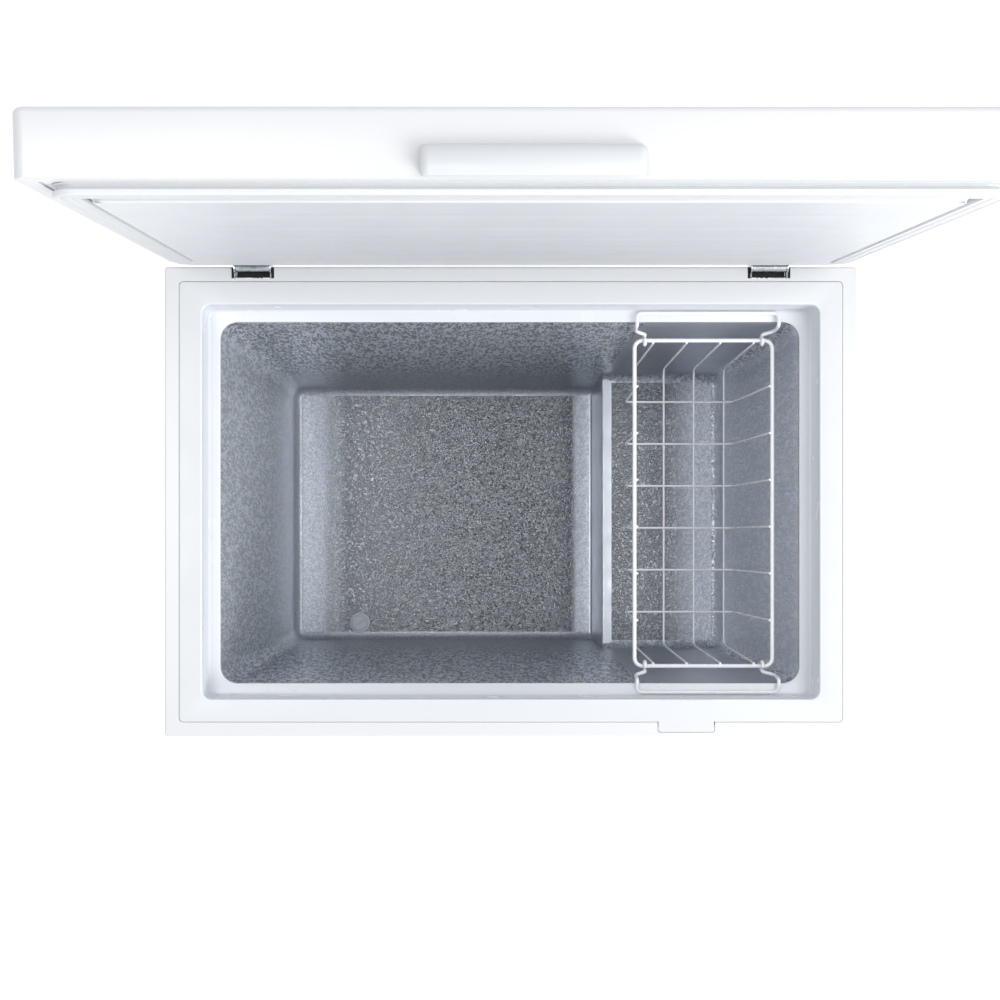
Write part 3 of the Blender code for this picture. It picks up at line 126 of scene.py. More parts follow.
class Plan:
    """Outlines of the cabinet, seen from above, that the pieces share."""

    def __init__(self):
        s = sizes()
        low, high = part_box("outer_wrapper")
        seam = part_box("breaker_frame")[1]
        self.half_x, self.half_y = high.x, (high.y - low.y) / 2
        self.centre_y = (high.y + low.y) / 2
        self.rim = high.z
        self.seam_x = seam.x
        self.seam_y = seam.y - self.centre_y
        self.recess_x = self.seam_x + GAP - s.frame_band
        self.recess_y = self.seam_y + GAP - s.frame_band
        self.opening_x = self.recess_x - s.ledge_width
        self.opening_y = self.recess_y - s.ledge_width
        self.ledge = self.rim - s.ledge_drop
        self.liner_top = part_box("inner_liner")[1].z

    def loop(self, half_x, half_y, radius, z, steps=10):
        return rounded_rectangle(half_x, half_y, radius, z, (0.0, self.centre_y), steps)


def rounded_rectangle(half_x, half_y, radius, z, centre=(0.0, 0.0), steps=10):
    """A loop seen anticlockwise from above, starting on the right at the rear corner."""
    points = []
    for quarter, (side_x, side_y) in enumerate(((1, 1), (-1, 1), (-1, -1), (1, -1))):
        x = centre[0] + side_x * (half_x - radius)
        y = centre[1] + side_y * (half_y - radius)
        for step in range(steps + 1):
            angle = math.radians(90 * (quarter + step / steps))
            points.append(Vector((x + radius * math.cos(angle), y + radius * math.sin(angle), z)))
    return points


def halfway(low, high):
    """The middle of a box, as x, y and z."""
    return [(a + b) / 2 for a, b in zip(low, high)]


def sweep(start, end, steps):
    """Angles in radians in equal steps between two angles in degrees."""
    return [math.radians(start + (end - start) * step / steps) for step in range(steps + 1)]


def circle(radius, z, sides):
    angles = [2 * math.pi * i / sides for i in range(sides)]
    return [Vector((radius * math.cos(a), radius * math.sin(a), z)) for a in angles]


def bent(corners, radius, steps=5):
    """A route through corner points with each inner corner bent to a smooth curve."""
    corners = [Vector(c) for c in corners]
    route = [corners[0]]
    for before, corner, after in zip(corners, corners[1:], corners[2:]):
        back, ahead = before - corner, after - corner
        reach = min(radius, back.length * 0.45, ahead.length * 0.45)
        start, end = corner + back.normalized() * reach, corner + ahead.normalized() * reach
        for step in range(steps + 1):
            t = step / steps
            route.append(start * (1 - t) ** 2 + corner * 2 * t * (1 - t) + end * t**2)
    route.append(corners[-1])
    return route


# Mesh building


def placed(name, data, at=(0.0, 0.0, 0.0)):
    """A new object in the scene."""
    obj = bpy.data.objects.new(name, data)
    obj.location = at
    bpy.context.scene.collection.objects.link(obj)
    return obj


class Maker:
    """Gathers lofts into one mesh, then makes it a piece that rides on a body."""

    def __init__(self):
        self.bm = bmesh.new()
        self.slot = 0

    def face(self, verts):
        face = self.bm.faces.new(verts)
        face.material_index = self.slot
        face.smooth = True
        return face

    def loft(self, loops, ring=False, caps=True, open_loop=False):
        """Skin loops of equal length. A ring joins its last loop to its first."""
        rows = [[self.bm.verts.new(point) for point in loop] for loop in loops]
        pairs = list(zip(rows, rows[1:]))
        if ring:
            pairs.append((rows[-1], rows[0]))
        elif caps:
            self.face(rows[0][::-1])
            self.face(rows[-1])
        count = len(rows[0])
        for lower, upper in pairs:
            for i in range(count - 1 if open_loop else count):
                j = (i + 1) % count
                self.face((lower[i], lower[j], upper[j], upper[i]))
        return rows

    def turned(self, profile, at, axis="Z", sides=40, ring=False):
        """A profile of (radius, height) turned about Z, or about -Y, through a point."""
        turn = Matrix.Rotation(math.pi / 2, 3, "X") if axis == "-Y" else Matrix.Identity(3)
        loops = [[Vector(at) + turn @ p for p in circle(r, h, sides)] for r, h in profile]
        return self.loft(loops, ring)

    def wire(self, route, radius, sides=12, cyclic=False):
        """A round wire along a route, with rounded ends."""
        route = [Vector(p) for p in route]
        count, across, loops = len(route), None, []
        for i, point in enumerate(route):
            if cyclic:
                before, after = route[i - 1], route[(i + 1) % count]
            else:
                before, after = route[max(i - 1, 0)], route[min(i + 1, count - 1)]
            along = (after - before).normalized()
            across = along.orthogonal() if across is None else across
            across = (across - along * across.dot(along)).normalized()
            side = along.cross(across)
            ends = [(0.0, 1.0)]
            if not cyclic and i == 0:
                ends = [(-0.8, 0.45), (-0.4, 0.9), (0.0, 1.0)]
            elif not cyclic and i == count - 1:
                ends = [(0.0, 1.0), (0.4, 0.9), (0.8, 0.45)]
            for ahead, share in ends:
                loops.append([
                    point + along * ahead * radius + radius * share * (
                        across * math.cos(2 * math.pi * k / sides) + side * math.sin(2 * math.pi * k / sides)
                    )
                    for k in range(sides)
                ])
        return self.loft(loops, ring=cyclic)

    def piece(self, name, body, slot, replaces=(), bevel=0.0, sharp=35, closed=True, materials=None):
        """Close the mesh into a named piece on a body, in place of CAD nodes.

        Its material is its slot's own, unless it has several.
        """
        if closed:
            bmesh.ops.recalc_face_normals(self.bm, faces=self.bm.faces)
        mesh = bpy.data.meshes.new(name)
        self.bm.to_mesh(mesh)
        self.bm.free()
        mesh.set_sharp_from_angle(angle=math.radians(sharp))
        for material in materials or (SLOT_FINISH[slot],):
            mesh.materials.append(bpy.data.materials[material])
        obj = placed(name, mesh)
        if bevel:
            soften(obj, bevel)
        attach(obj, body)
        if replaces:
            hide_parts(*replaces)
        return obj


def soften(obj, width, segments=3, angle=40):
    """Round every sharp edge, as a press tool or a mould leaves it."""
    bevel = obj.modifiers.new("Rounded edges", "BEVEL")
    bevel.width = width
    bevel.segments = segments
    bevel.limit_method = "ANGLE"
    bevel.angle_limit = math.radians(angle)
    bevel.harden_normals = True
    bevel.use_clamp_overlap = True


# Materials


def add_node(tree, kind, inputs=None, **settings):
    """Add a node, set its settings, then link or set its inputs."""
    node = tree.nodes.new(kind)
    for name, value in settings.items():
        setattr(node, name, value)
    for name, value in (inputs or {}).items():
        if isinstance(value, bpy.types.NodeSocket):
            tree.links.new(value, node.inputs[name])
        else:
            node.inputs[name].default_value = value
    return node


class Finish:
    """A material's node tree, with its patterns laid out in real sizes on the object."""

    def __init__(self, name, **shader):
        material = bpy.data.materials.new(name)
        material.use_nodes = True
        self.tree = material.node_tree
        self.tree.nodes.clear()
        self.shader = add_node(self.tree, "ShaderNodeBsdfPrincipled", shader)
        add_node(self.tree, "ShaderNodeOutputMaterial", {"Surface": self.shader.outputs["BSDF"]})
        self.where = add_node(self.tree, "ShaderNodeTexCoord").outputs["Object"]
        self.normal = None

    def stretched(self, x, y, z):
        """The object's coordinates squeezed along each axis, for grain that runs one way."""
        inputs = {"Vector": self.where, "Scale": (x, y, z)}
        return add_node(self.tree, "ShaderNodeMapping", inputs).outputs["Vector"]

    def noise(self, width, detail=2.0, distortion=0.0, where=None):
        """Cloudy lumps of about the given width."""
        inputs = {
            "Vector": where or self.where, "Scale": 1.0 / width, "Detail": detail, "Distortion": distortion,
        }
        return add_node(self.tree, "ShaderNodeTexNoise", inputs).outputs["Fac"]

    def spread(self, height, low, high, start=0.3, end=0.7):
        """A pattern's share turned into a range of values."""
        inputs = {"Value": height, "From Min": start, "From Max": end, "To Min": low, "To Max": high}
        return add_node(self.tree, "ShaderNodeMapRange", inputs).outputs["Result"]

    def along(self, axis, stops):
        """A share that follows (position, value) stops along one axis."""
        low, high = stops[0][0], stops[-1][0]
        part = add_node(self.tree, "ShaderNodeSeparateXYZ", {"Vector": self.where}).outputs[axis]
        ramp = add_node(self.tree, "ShaderNodeValToRGB", {"Fac": self.spread(part, 0.0, 1.0, low, high)})
        ramp.color_ramp.interpolation = "EASE"
        elements = ramp.color_ramp.elements
        while len(elements) < len(stops):
            elements.new(0.5)
        for element, (position, value) in zip(elements, stops):
            element.position = (position - low) / (high - low)
            element.color = (value, value, value, 1.0)
        return ramp.outputs["Color"]

    def tint(self, share, first, second):
        """Base colour that drifts between two colours."""
        mix = add_node(self.tree, "ShaderNodeMix", {"Factor": share}, data_type="RGBA")
        for socket in mix.inputs:
            if socket.type == "RGBA":
                socket.default_value = (*(first if socket.identifier.startswith("A") else second), 1.0)
        colour_out = next(o for o in mix.outputs if o.type == "RGBA")
        self.tree.links.new(colour_out, self.shader.inputs["Base Color"])

    def rough(self, share, low, high, start=0.3, end=0.7):
        self.tree.links.new(self.spread(share, low, high, start, end), self.shader.inputs["Roughness"])

    def relief(self, height, depth, strength=1.0):
        """Raise a pattern by a real depth, over any relief already there."""
        inputs = {"Height": height, "Distance": depth, "Strength": strength}
        if self.normal is not None:
            inputs["Normal"] = self.normal
        self.normal = add_node(self.tree, "ShaderNodeBump", inputs).outputs["Normal"]
        self.tree.links.new(self.normal, self.shader.inputs["Normal"])


def shade(rgb, share):
    return tuple(min(1.0, channel * share) for channel in rgb)


def drifting(name, colours, tint, rough, relief, **shader):
    """A finish whose colour, roughness and relief each follow noise of its own.

    tint is (width, detail), rough is (width, detail, low, high) and relief is (width, detail, depth,
    strength). The two colours are hex codes or linear.
    """
    finish = Finish(name, **shader)
    ends = [linear(c) if isinstance(c, str) else c for c in colours]
    finish.tint(finish.spread(finish.noise(*tint), 0.0, 1.0), *ends)
    finish.rough(finish.noise(*rough[:2]), *rough[2:])
    finish.relief(finish.noise(*relief[:2]), *relief[2:])
    return finish


def moulded(name, rgb, low, high, texture, depth):
    """Injection-moulded plastic: a fine tool texture and slow drifts of gloss."""
    return drifting(name, (shade(rgb, 0.99), rgb), (0.11, 1.0), (0.035, 1.0, low, high),
                    (texture, 3.0, depth, 0.3), IOR=1.5)


def make_materials():
    c = colours()

    # Polyester powder coat on cold-rolled sheet: a slight orange peel that breaks up highlights.
    drifting("powder_coated_steel", (shade(c.steel, 0.99), c.steel), (0.16, 1.0), (0.12, 1.0, 0.29, 0.32),
             (0.0060, 1.0, 0.00002, 0.25), IOR=1.5)

    # Moulded high-impact polystyrene: smoother and bluer than the steel, with soft highlights.
    moulded("moulded_rim_polystyrene", c.plastic, 0.30, 0.40, 0.0009, 0.00002)

    # The same plastic, glossier, with a clearer highlight; its colour is painted lighter, standing for the light
    # on the rim's recess, the lid's border and the drain: painted light.
    moulded("glossy_polystyrene_painted_lighter", c.recess, 0.20, 0.28, 0.0016, 0.00001)

    # Vacuum-formed polystyrene sheet: satin, with the faint waviness of stretched sheet.
    liner = moulded("vacuum_formed_polystyrene", c.liner, 0.38, 0.48, 0.0011, 0.00002)
    liner.relief(liner.noise(0.045, 1.0), 0.0006, 0.35)

    # Stucco-embossed aluminium: pressed worm-like ridges. Their light and dark in the base colour is painted glint
    # and painted shade.
    # The walls keep the coil's clear lacquer, which scatters light. The press, and the painted glint with it,
    # fades toward the drawn foot.
    # The real ridges are about 3 mm long: they are drawn at 4 mm, and longer still down the walls,
    # so that they show from above.
    s, plan = sizes(), Plan()
    end = plan.opening_x
    wall = Finish("stucco_embossed_aluminium", Metallic=0.50)
    worms = wall.noise(0.0040, 1.0, 1.2, wall.stretched(1.0, 1.0, 0.26))
    fine = wall.noise(0.0026, 1.0, 0.8, wall.stretched(1.0, 1.0, 0.5))
    foot = s.well_floor
    pressed = wall.along("Z", [(foot, 0.0), (foot + 0.10, 0.10), (foot + 0.34, 1.0)])
    # painted light: the end walls' colour is lifted, the right end most, standing for the light that falls on
    # them; the same ramp makes them rougher
    drawn_and_lit_ends = wall.along("X", [(-end, 0.6), (0.012 - end, 0.0), (end - 0.012, 0.0), (end, 1.0)])
    low = wall.spread(pressed, 0.44, 0.0, 0.0, 1.0)
    high = wall.spread(pressed, 0.62, 1.0, 0.0, 1.0)
    ridges = wall.spread(worms, low, high, 0.45, 0.53)
    # painted light share: the ridges' painted glint and shade, lifted on the end walls by their painted light
    painted_light_share = wall.spread(ridges, wall.spread(drawn_and_lit_ends, 0.16, 0.85, 0.0, 1.0), 1.0, 0.0, 1.0)
    wall.tint(painted_light_share, shade(c.aluminium, 0.20), shade(c.aluminium, 1.18))
    wall.rough(drawn_and_lit_ends, 0.30, 0.46, 0.0, 1.0)
    wall.relief(ridges, 0.0011, 1.0)
    wall.relief(fine, 0.0004, 0.7)

    # The same sheet on the floors, worn nearly to bare metal, and rougher in bands beside the ends and the step.
    # Its colour is painted light:
    # a painted dark reflection in the middle, painted light in those bands, and painted glint and shade on the
    # ridges.
    floor = Finish("stucco_floor_aluminium", Metallic=1.0)
    worms = floor.noise(0.0036, 1.0, 1.2)
    fine = floor.noise(0.0020, 1.0, 0.8)
    # painted light: lighter bands beside the ends and the step stand for the light the walls and the step throw
    # down on the floor; the same bands are rougher
    matted_and_lit_bands = floor.along("X", [
        (-end, 0.7), (0.018 - end, 1.0), (0.036 - end, 0.9), (0.060 - end, 0.35), (0.085 - end, 0.0),
        (s.step_x - 0.034, 0.0), (s.step_x - 0.022, 0.9), (s.step_x - 0.002, 1.0), (s.step_x, 0.0),
        (s.step_x + 0.085, 0.05), (end - 0.03, 0.9), (end, 1.0),
    ])
    ridges = floor.spread(worms, 0.0, 1.0, 0.42, 0.60)
    low = floor.spread(matted_and_lit_bands, 0.0, 0.70, 0.0, 1.0)
    high = floor.spread(matted_and_lit_bands, 0.16, 1.0, 0.0, 1.0)
    painted_light_share = floor.spread(ridges, low, high, 0.0, 1.0)
    # painted dark reflection in the middle, painted light in the bands, painted glint and shade on the ridges
    floor.tint(painted_light_share, shade(c.aluminium, 0.18), shade(c.aluminium, 1.18))
    floor.rough(matted_and_lit_bands, 0.20, 0.42, 0.0, 1.0)
    floor.relief(ridges, 0.00022, 0.8)
    floor.relief(fine, 0.00012, 0.5)

    # Mill-finish rolled aluminium: fine lines along the roll and a soft, stretched reflection.
    rolled = Finish("rolled_aluminium", Metallic=0.85)
    lines = rolled.noise(0.0009, 2.0, 0.0, rolled.stretched(1.0, 1.0, 0.03))
    rolled.tint(rolled.spread(rolled.noise(0.09, 3.0), 0.0, 1.0), shade(c.aluminium, 0.90), c.aluminium)
    rolled.rough(rolled.noise(0.02, 4.0), 0.30, 0.42)
    rolled.relief(lines, 0.00003, 0.4)
    rolled.relief(rolled.noise(0.03, 2.0), 0.0007, 0.35)

    # Hot-dip galvanised sheet: large zinc crystals, each with its own grey and gloss.
    galvanised = Finish("galvanised_sheet", Metallic=0.9)
    crystals = add_node(
        galvanised.tree, "ShaderNodeTexVoronoi",
        {"Vector": galvanised.where, "Scale": 1.0 / 0.014, "Randomness": 1.0},
    )
    crystal_colour = {"Color": crystals.outputs["Color"]}
    grey = add_node(galvanised.tree, "ShaderNodeRGBToBW", crystal_colour).outputs["Val"]
    galvanised.tint(galvanised.spread(grey, 0.0, 1.0, 0.2, 0.8), linear("8F959A"), linear("B9BEC2"))
    galvanised.rough(grey, 0.34, 0.50)
    galvanised.relief(grey, 0.00002, 0.5)

    # Bright zinc plate over pressed steel: a clear bluish metal with fine press marks.
    drifting("zinc_plated_steel", ("B4BAC0", "D2D7DB"), (0.012, 3.0), (0.006, 4.0, 0.18, 0.32),
             (0.0006, 2.0, 0.00001, 0.4), Metallic=1.0)

    # Oil-tempered spring wire: dark, with long drawing marks and a sharp glint.
    drifting("tempered_spring_steel", ("4A4D52", "6E7278"), (0.004, 3.0), (0.003, 2.0, 0.22, 0.36),
             (0.0004, 2.0, 0.00001, 0.5), Metallic=1.0)

    # Stoved black enamel on the compressor: a deep gloss that pools over weld ripples.
    drifting("black_stoved_enamel", ("131415", "1E1F21"), (0.02, 3.0), (0.015, 3.0, 0.20, 0.32),
             (0.004, 2.0, 0.00008, 0.5), IOR=1.52)

    # Spark-textured black polypropylene: an even grain that keeps the highlight dull.
    moulded("textured_black_polypropylene", linear("222326"), 0.42, 0.55, 0.0007, 0.00004)

    # Cold-drawn copper tube: warm metal, darker where handling has dulled it.
    drifting("drawn_copper_tube", ("8C4A30", "C98462"), (0.025, 4.0), (0.01, 3.0, 0.22, 0.40),
             (0.0008, 2.0, 0.00001, 0.4), Metallic=1.0)

    # Compression-moulded nitrile rubber: matt, with a dusty bloom in patches.
    drifting("moulded_nitrile_rubber", ("1F1F20", "343435"), (0.01, 4.0), (0.005, 3.0, 0.70, 0.88),
             (0.0006, 2.0, 0.00004, 0.5), IOR=1.45)

    # Extruded soft PVC: satin, slightly translucent to the eye, with faint lines along its run.
    vinyl = moulded("extruded_soft_vinyl", linear("DCDEE0"), 0.48, 0.60, 0.0014, 0.00003)
    vinyl.shader.inputs["Subsurface Weight"].default_value = 0.08
    vinyl.shader.inputs["Subsurface Scale"].default_value = 0.002

    # Moulded grey ABS: semi-matt.
    moulded("moulded_grey_abs", linear("85898F"), 0.36, 0.46, 0.0007, 0.00003)

    # Steel wire dipped in polyamide: a thick glossy skin, rounded at every weld.
    drifting("polyamide_dipped_wire", (shade(c.wire, 0.97), c.wire), (0.03, 3.0), (0.01, 3.0, 0.20, 0.30),
             (0.005, 2.0, 0.00012, 0.4), IOR=1.53, **{"Coat Weight": 0.35, "Coat Roughness": 0.08})

    # Moulded green polycarbonate: clear and polished, so that the lamp looks deep.
    drifting("green_polycarbonate_lens", ("1E8A44", "35B862"), (0.003, 2.0), (0.002, 2.0, 0.06, 0.14),
             (0.0015, 1.0, 0.00003, 0.4), IOR=1.585, **{"Transmission Weight": 0.35})

    # Sprayed polyurethane foam: pale yellow cells that open where the skin is cut.
    drifting("polyurethane_foam", ("CDB878", "E6D8A6"), (0.008, 5.0), (0.004, 3.0, 0.85, 0.98),
             (0.0015, 3.0, 0.0003, 0.8), IOR=1.4)

    # Printed marks on the bezel: a thin matt ink film.
    drifting("printed_grey_ink", ("3A4148", "4A525A"), (0.002, 3.0), (0.001, 2.0, 0.55, 0.70),
             (0.0004, 2.0, 0.000005, 0.3), IOR=1.45)


SLOT_FINISH = {
    "white_steel": "powder_coated_steel",
    "white_plastic": "moulded_rim_polystyrene",
    "lid_liner_plastic": "vacuum_formed_polystyrene",
    "embossed_aluminium": "stucco_embossed_aluminium",
    "foam": "polyurethane_foam",
    "galvanised_steel": "galvanised_sheet",
    "black_enamel": "black_stoved_enamel",
    "rubber": "moulded_nitrile_rubber",
    "black_plastic": "textured_black_polypropylene",
    "copper": "drawn_copper_tube",
    "grey_plastic": "moulded_grey_abs",
    "green_lens": "green_polycarbonate_lens",
    "zinc_steel": "zinc_plated_steel",
    "spring_steel": "tempered_spring_steel",
    "gasket_vinyl": "extruded_soft_vinyl",
    "coated_wire": "polyamide_dipped_wire",
}


class FREEZER_OT_materials(bpy.types.Operator):
    """Make the materials and dress every CAD node in its own"""

    bl_idname = "freezer.materials"
    bl_label = "Materials"

    def execute(self, context):
        make_materials()
        for entry in frame["record"]["subparts"]:
            finish = bpy.data.materials[SLOT_FINISH[entry["material_slot"]]]
            for holder in frame["nodes"][entry["node"]].material_slots:
                holder.material = finish
        return {"FINISHED"}


def make_stage():
    scene = bpy.context.scene
    scene.view_settings.view_transform = "Standard"
    plan = Plan()

    data = bpy.data.cameras.new("Camera")
    data.lens = 50.0
    data.sensor_width = 36.0
    data.shift_x, data.shift_y = 0.033, 0.039  # the freezer stands off the view's middle
    scene.camera = placed("Camera", data, (-0.0472, plan.centre_y - 0.040, plan.rim + 1.493))

    maker = Maker()
    edge = 6.0  # wide enough to fill the view from every side
    rows = [[Vector((x, y, 0.0)) for x in (-edge, edge)] for y in (-edge, edge)]
    maker.loft(rows, caps=False, open_loop=True)
    mesh = bpy.data.meshes.new("Studio_floor")
    maker.bm.to_mesh(mesh)
    maker.bm.free()
    floor = placed("Studio_floor", mesh)
    # Painted studio floor lit from within: matt, and white enough to vanish in the background.
    glow = {"Emission Color": (1.0, 1.0, 1.0, 1.0), "Emission Strength": 0.45}
    white = colours().floor
    paint = Finish("matt_floor_paint", **glow)
    paint.tint(paint.spread(paint.noise(0.5, 2.0), 0.0, 1.0), shade(white, 0.985), white)
    paint.rough(paint.noise(0.2, 2.0), 0.85, 0.95)
    mesh.materials.append(bpy.data.materials["matt_floor_paint"])

    # a pale room whose ceiling is dimmer than its walls
    world = bpy.data.worlds.new("Studio")
    world.use_nodes = True
    tree = world.node_tree
    direction = add_node(tree, "ShaderNodeTexCoord").outputs["Generated"]
    up = add_node(tree, "ShaderNodeSeparateXYZ", {"Vector": direction})
    height = add_node(tree, "ShaderNodeMapRange", {
        "Value": up.outputs["Z"], "From Min": 0.35, "From Max": 0.97, "To Min": 0.86, "To Max": 0.30,
    }, interpolation_type="SMOOTHSTEP")
    background = tree.nodes["Background"]
    background.inputs["Color"].default_value = (0.96, 0.98, 1.0, 1.0)
    tree.links.new(height.outputs["Result"], background.inputs["Strength"])
    scene.world = world

    target = Vector((0.0, plan.centre_y, plan.rim))
    # name, place, side in metres and power in watts
    lamps = (
        ("Key", (2.1, -1.6, 2.7), 1.5, 58.0),
        ("Overhead", (1.3, -0.1, 3.7), 1.4, 25.0),
        ("Fill", (-1.0, 0.0, 3.8), 1.0, 19.0),
    )
    for name, at, side, power in lamps:
        light = bpy.data.lights.new(name, "AREA")
        light.shape = "SQUARE"
        light.size = side
        light.energy = power
        lamp = placed(name, light, at)
        lamp.rotation_euler = (target - Vector(at)).to_track_quat("-Z", "Y").to_euler()


class FREEZER_OT_stage(bpy.types.Operator):
    """Place the camera, the floor and the lights"""

    bl_idname = "freezer.stage"
    bl_label = "Stage"

    def execute(self, context):
        make_stage()
        return {"FINISHED"}


def make_liner():
    s, plan = sizes(), Plan()
    steps = 8
    fillet = s.floor_fillet
    half_y, corner = plan.opening_y, s.opening_corner
    middle = plan.centre_y
    top = plan.liner_top
    lap = 0.0004  # by which sheets run past, or stop short of, each other

    def u_loop(side, inset, z, near):
        """Rear wall, end wall and front wall, from the seam round the end and back."""
        radius = corner - inset
        end = plan.opening_x - inset
        depth = half_y - inset
        points = [Vector((near, middle + depth, z))]
        for quarter in (0, 1):
            y = middle + (depth - radius) * (1 - 2 * quarter)
            for angle in sweep(90 - 90 * quarter, -90 * quarter, steps):
                x = side * (end - radius + radius * math.cos(angle))
                points.append(Vector((x, y + radius * math.sin(angle), z)))
        points.append(Vector((near, middle - depth, z)))
        return points

    def walls(maker, side, near, floor, shrink=0.0):
        """Three walls and their fillet, down to the edge of the floor, whose loop comes last."""
        loops = [u_loop(side, shrink, top, near)]
        for angle in sweep(0, 90, steps):
            inset, height = fillet * (1 - math.cos(angle)), fillet * (1 - math.sin(angle))
            loops.append(u_loop(side, inset + shrink, floor + height, near))
        return maker.loft(loops, caps=False, open_loop=True)

    # the deep well, its floor filled in round the drain's hole
    deep = Maker()
    edge = walls(deep, -1, s.step_x + lap, s.well_floor)[-1]
    low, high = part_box("drain_tube")
    drain_radius = (high.x - low.x) / 2
    drain = Vector(((low.x + high.x) / 2, high.y - drain_radius, s.well_floor))
    hole = [deep.bm.verts.new(point + drain) for point in circle(drain_radius + GAP, 0.0, 32)]
    rim = edge + [deep.bm.verts.new(edge[-1].co), deep.bm.verts.new(edge[0].co)]
    for loop in (rim, hole):
        for pair in zip(loop, loop[1:] + loop[:1]):
            if (pair[0].co - pair[1].co).length > NEAR / 10 and not deep.bm.edges.get(pair):
                deep.bm.edges.new(pair)
    bmesh.ops.remove_doubles(deep.bm, verts=deep.bm.verts, dist=NEAR)
    border = [
        e for e in deep.bm.edges
        if len(e.link_faces) < 2 and all(abs(v.co.z - s.well_floor) < NEAR for v in e.verts)
    ]
    filled = bmesh.ops.triangle_fill(deep.bm, use_beauty=True, edges=border)
    for element in filled["geom"]:
        if isinstance(element, bmesh.types.BMFace):
            element.smooth = True
            element.material_index = 1
    deep.piece("liner_deep_well", "cabinet", "embossed_aluminium", ("inner_liner",), closed=False,
               materials=("stucco_embossed_aluminium", "stucco_floor_aluminium"))

    # the shallow well: smooth front and rear, embossed end and floor
    shallow = Maker()
    edge = walls(shallow, 1, s.step_x - 0.0015, s.step_floor, GAP)[-1]
    for face in shallow.bm.faces:
        across = all(abs(abs(v.co.y - middle) - half_y) < 0.002 for v in face.verts)
        face.material_index = 0 if across else 1
    shallow.slot = 2
    shallow.face(edge[::-1])
    materials = ("rolled_aluminium", "stucco_embossed_aluminium", "stucco_floor_aluminium")
    shallow.piece("liner_side_sheet", "cabinet", "embossed_aluminium", closed=False, materials=materials)

    # the step: floor fillet, wall and a folded nosing, as one bent strip across the well
    fold, foot = s.nosing, s.well_floor + lap / 2
    centre_x, centre_z = s.step_x + fold * 0.4, s.step_floor - fold + 0.001
    profile = [
        (s.step_x - fold * (1 - math.sin(a)), foot + fold * (1 - math.cos(a))) for a in sweep(0, 90, steps)
    ]
    profile += [(centre_x + fold * math.cos(a), centre_z + fold * math.sin(a)) for a in sweep(240, 90, 12)]
    profile.append((s.step_x + 0.012, s.step_floor + lap))
    strip = Maker()
    reach = half_y - lap
    strip.loft([[Vector((x, y, z)) for x, z in profile] for y in (middle - reach, middle + reach)],
               caps=False, open_loop=True)
    strip.piece("liner_step", "cabinet", "embossed_aluminium", closed=False, sharp=60,
                materials=("rolled_aluminium",))


class FREEZER_OT_liner(bpy.types.Operator):
    """Line the deep well and the shallow well over the step"""

    bl_idname = "freezer.liner"
    bl_label = "Liner"

    def execute(self, context):
        make_liner()
        return {"FINISHED"}


def make_rim():
    s, plan = sizes(), Plan()
    front_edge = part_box("breaker_frame")[0].y
    x, y, z, ledge = plan.recess_x, plan.recess_y, plan.rim, plan.ledge
    corner, wall = s.recess_corner, 0.0025
    seam_corner, seam_round = 0.0045, 0.0016
    crest, cove, lip, draft = 0.002, 0.0025, 0.0015, 0.0008
    # the tongue in front, left blank where a lock would go
    tongue_x, tongue_half, tongue_corner = 0.1885, 0.0305, 0.003

    def outline(half_x, half_y, radius, height, tongue=None):
        """A loop whose front side carries the tongue, inset by a distance, or runs straight past it."""
        points = plan.loop(half_x, half_y, radius, height)
        front = plan.centre_y - half_y
        side = tongue_half - (tongue or 0.0)
        bump = [Vector((tongue_x - side, front, height))]
        for turn, end in ((-1, 180), (1, 270)):
            for a in sweep(end, end + 90, 6):
                along = tongue_x + turn * (side - tongue_corner) + tongue_corner * math.cos(a)
                sunk = front_edge + (tongue or 0.0) + tongue_corner * (1 + math.sin(a))
                bump.append(Vector((along, front if tongue is None else sunk, height)))
        bump.append(Vector((tongue_x + side, front, height)))
        split = len(points) * 3 // 4
        return points[:split] + bump + points[split:]

    def seam(inset, height, tongue=None):
        """A loop just inside the seam between the frame and the steel."""
        radius = max(seam_corner - inset, 0.0036)
        return outline(plan.seam_x - inset, plan.seam_y - inset, radius, height, tongue)

    def arc(offset, height, radius, start, end, base_x, base_y, base_corner):
        loops = []
        for a in sweep(start, end, 5):
            out = radius * math.cos(a)
            loops.append(outline(
                base_x + offset + out, base_y + offset + out, max(base_corner + offset + out, 0.0006),
                height + radius * math.sin(a),
            ))
        return loops

    loops = [
        seam(0.0, z - 0.0006, 0.0), seam(0.0002, z - 0.0002, 0.0002), seam(0.0006, z, 0.0006),
        seam(seam_round, z),
    ]
    # crest, recess wall, cove, ledge and rolled lip
    loops += arc(crest, z - crest, crest, 90, 180, x, y, corner)
    loops += arc(-draft - cove, ledge + cove, cove, 0, -90, x, y, corner)
    loops += arc(lip, ledge - lip, lip, 90, 180, plan.opening_x, plan.opening_y, s.opening_corner)
    # back along the hidden side
    loops += [
        outline(plan.opening_x, plan.opening_y, s.opening_corner, ledge - wall),
        outline(x + wall, y + wall, corner + wall, ledge - wall),
        outline(x + wall, y + wall, corner + wall, z - wall),
        seam(seam_round, z - wall), seam(0.0, z - wall, 0.0),
    ]
    maker = Maker()
    maker.loft(loops, ring=True)
    edge = crest + 0.0001
    # painted light: the recess faces take the copy of the plastic painted lighter
    for face in maker.bm.faces:
        where = face.calc_center_median()
        sunk = abs(where.x) < x + edge and abs(where.y - plan.centre_y) < y + edge
        face.material_index = 1 if sunk else 0
    maker.piece("rim_frame", "cabinet", "white_plastic", ("breaker_frame",),
                materials=("moulded_rim_polystyrene", "glossy_polystyrene_painted_lighter"))


class FREEZER_OT_rim(bpy.types.Operator):
    """Mould the rim frame with its sunk ledge and lock blank"""

    bl_idname = "freezer.rim"
    bl_label = "Rim frame"

    def execute(self, context):
        make_rim()
        return {"FINISHED"}


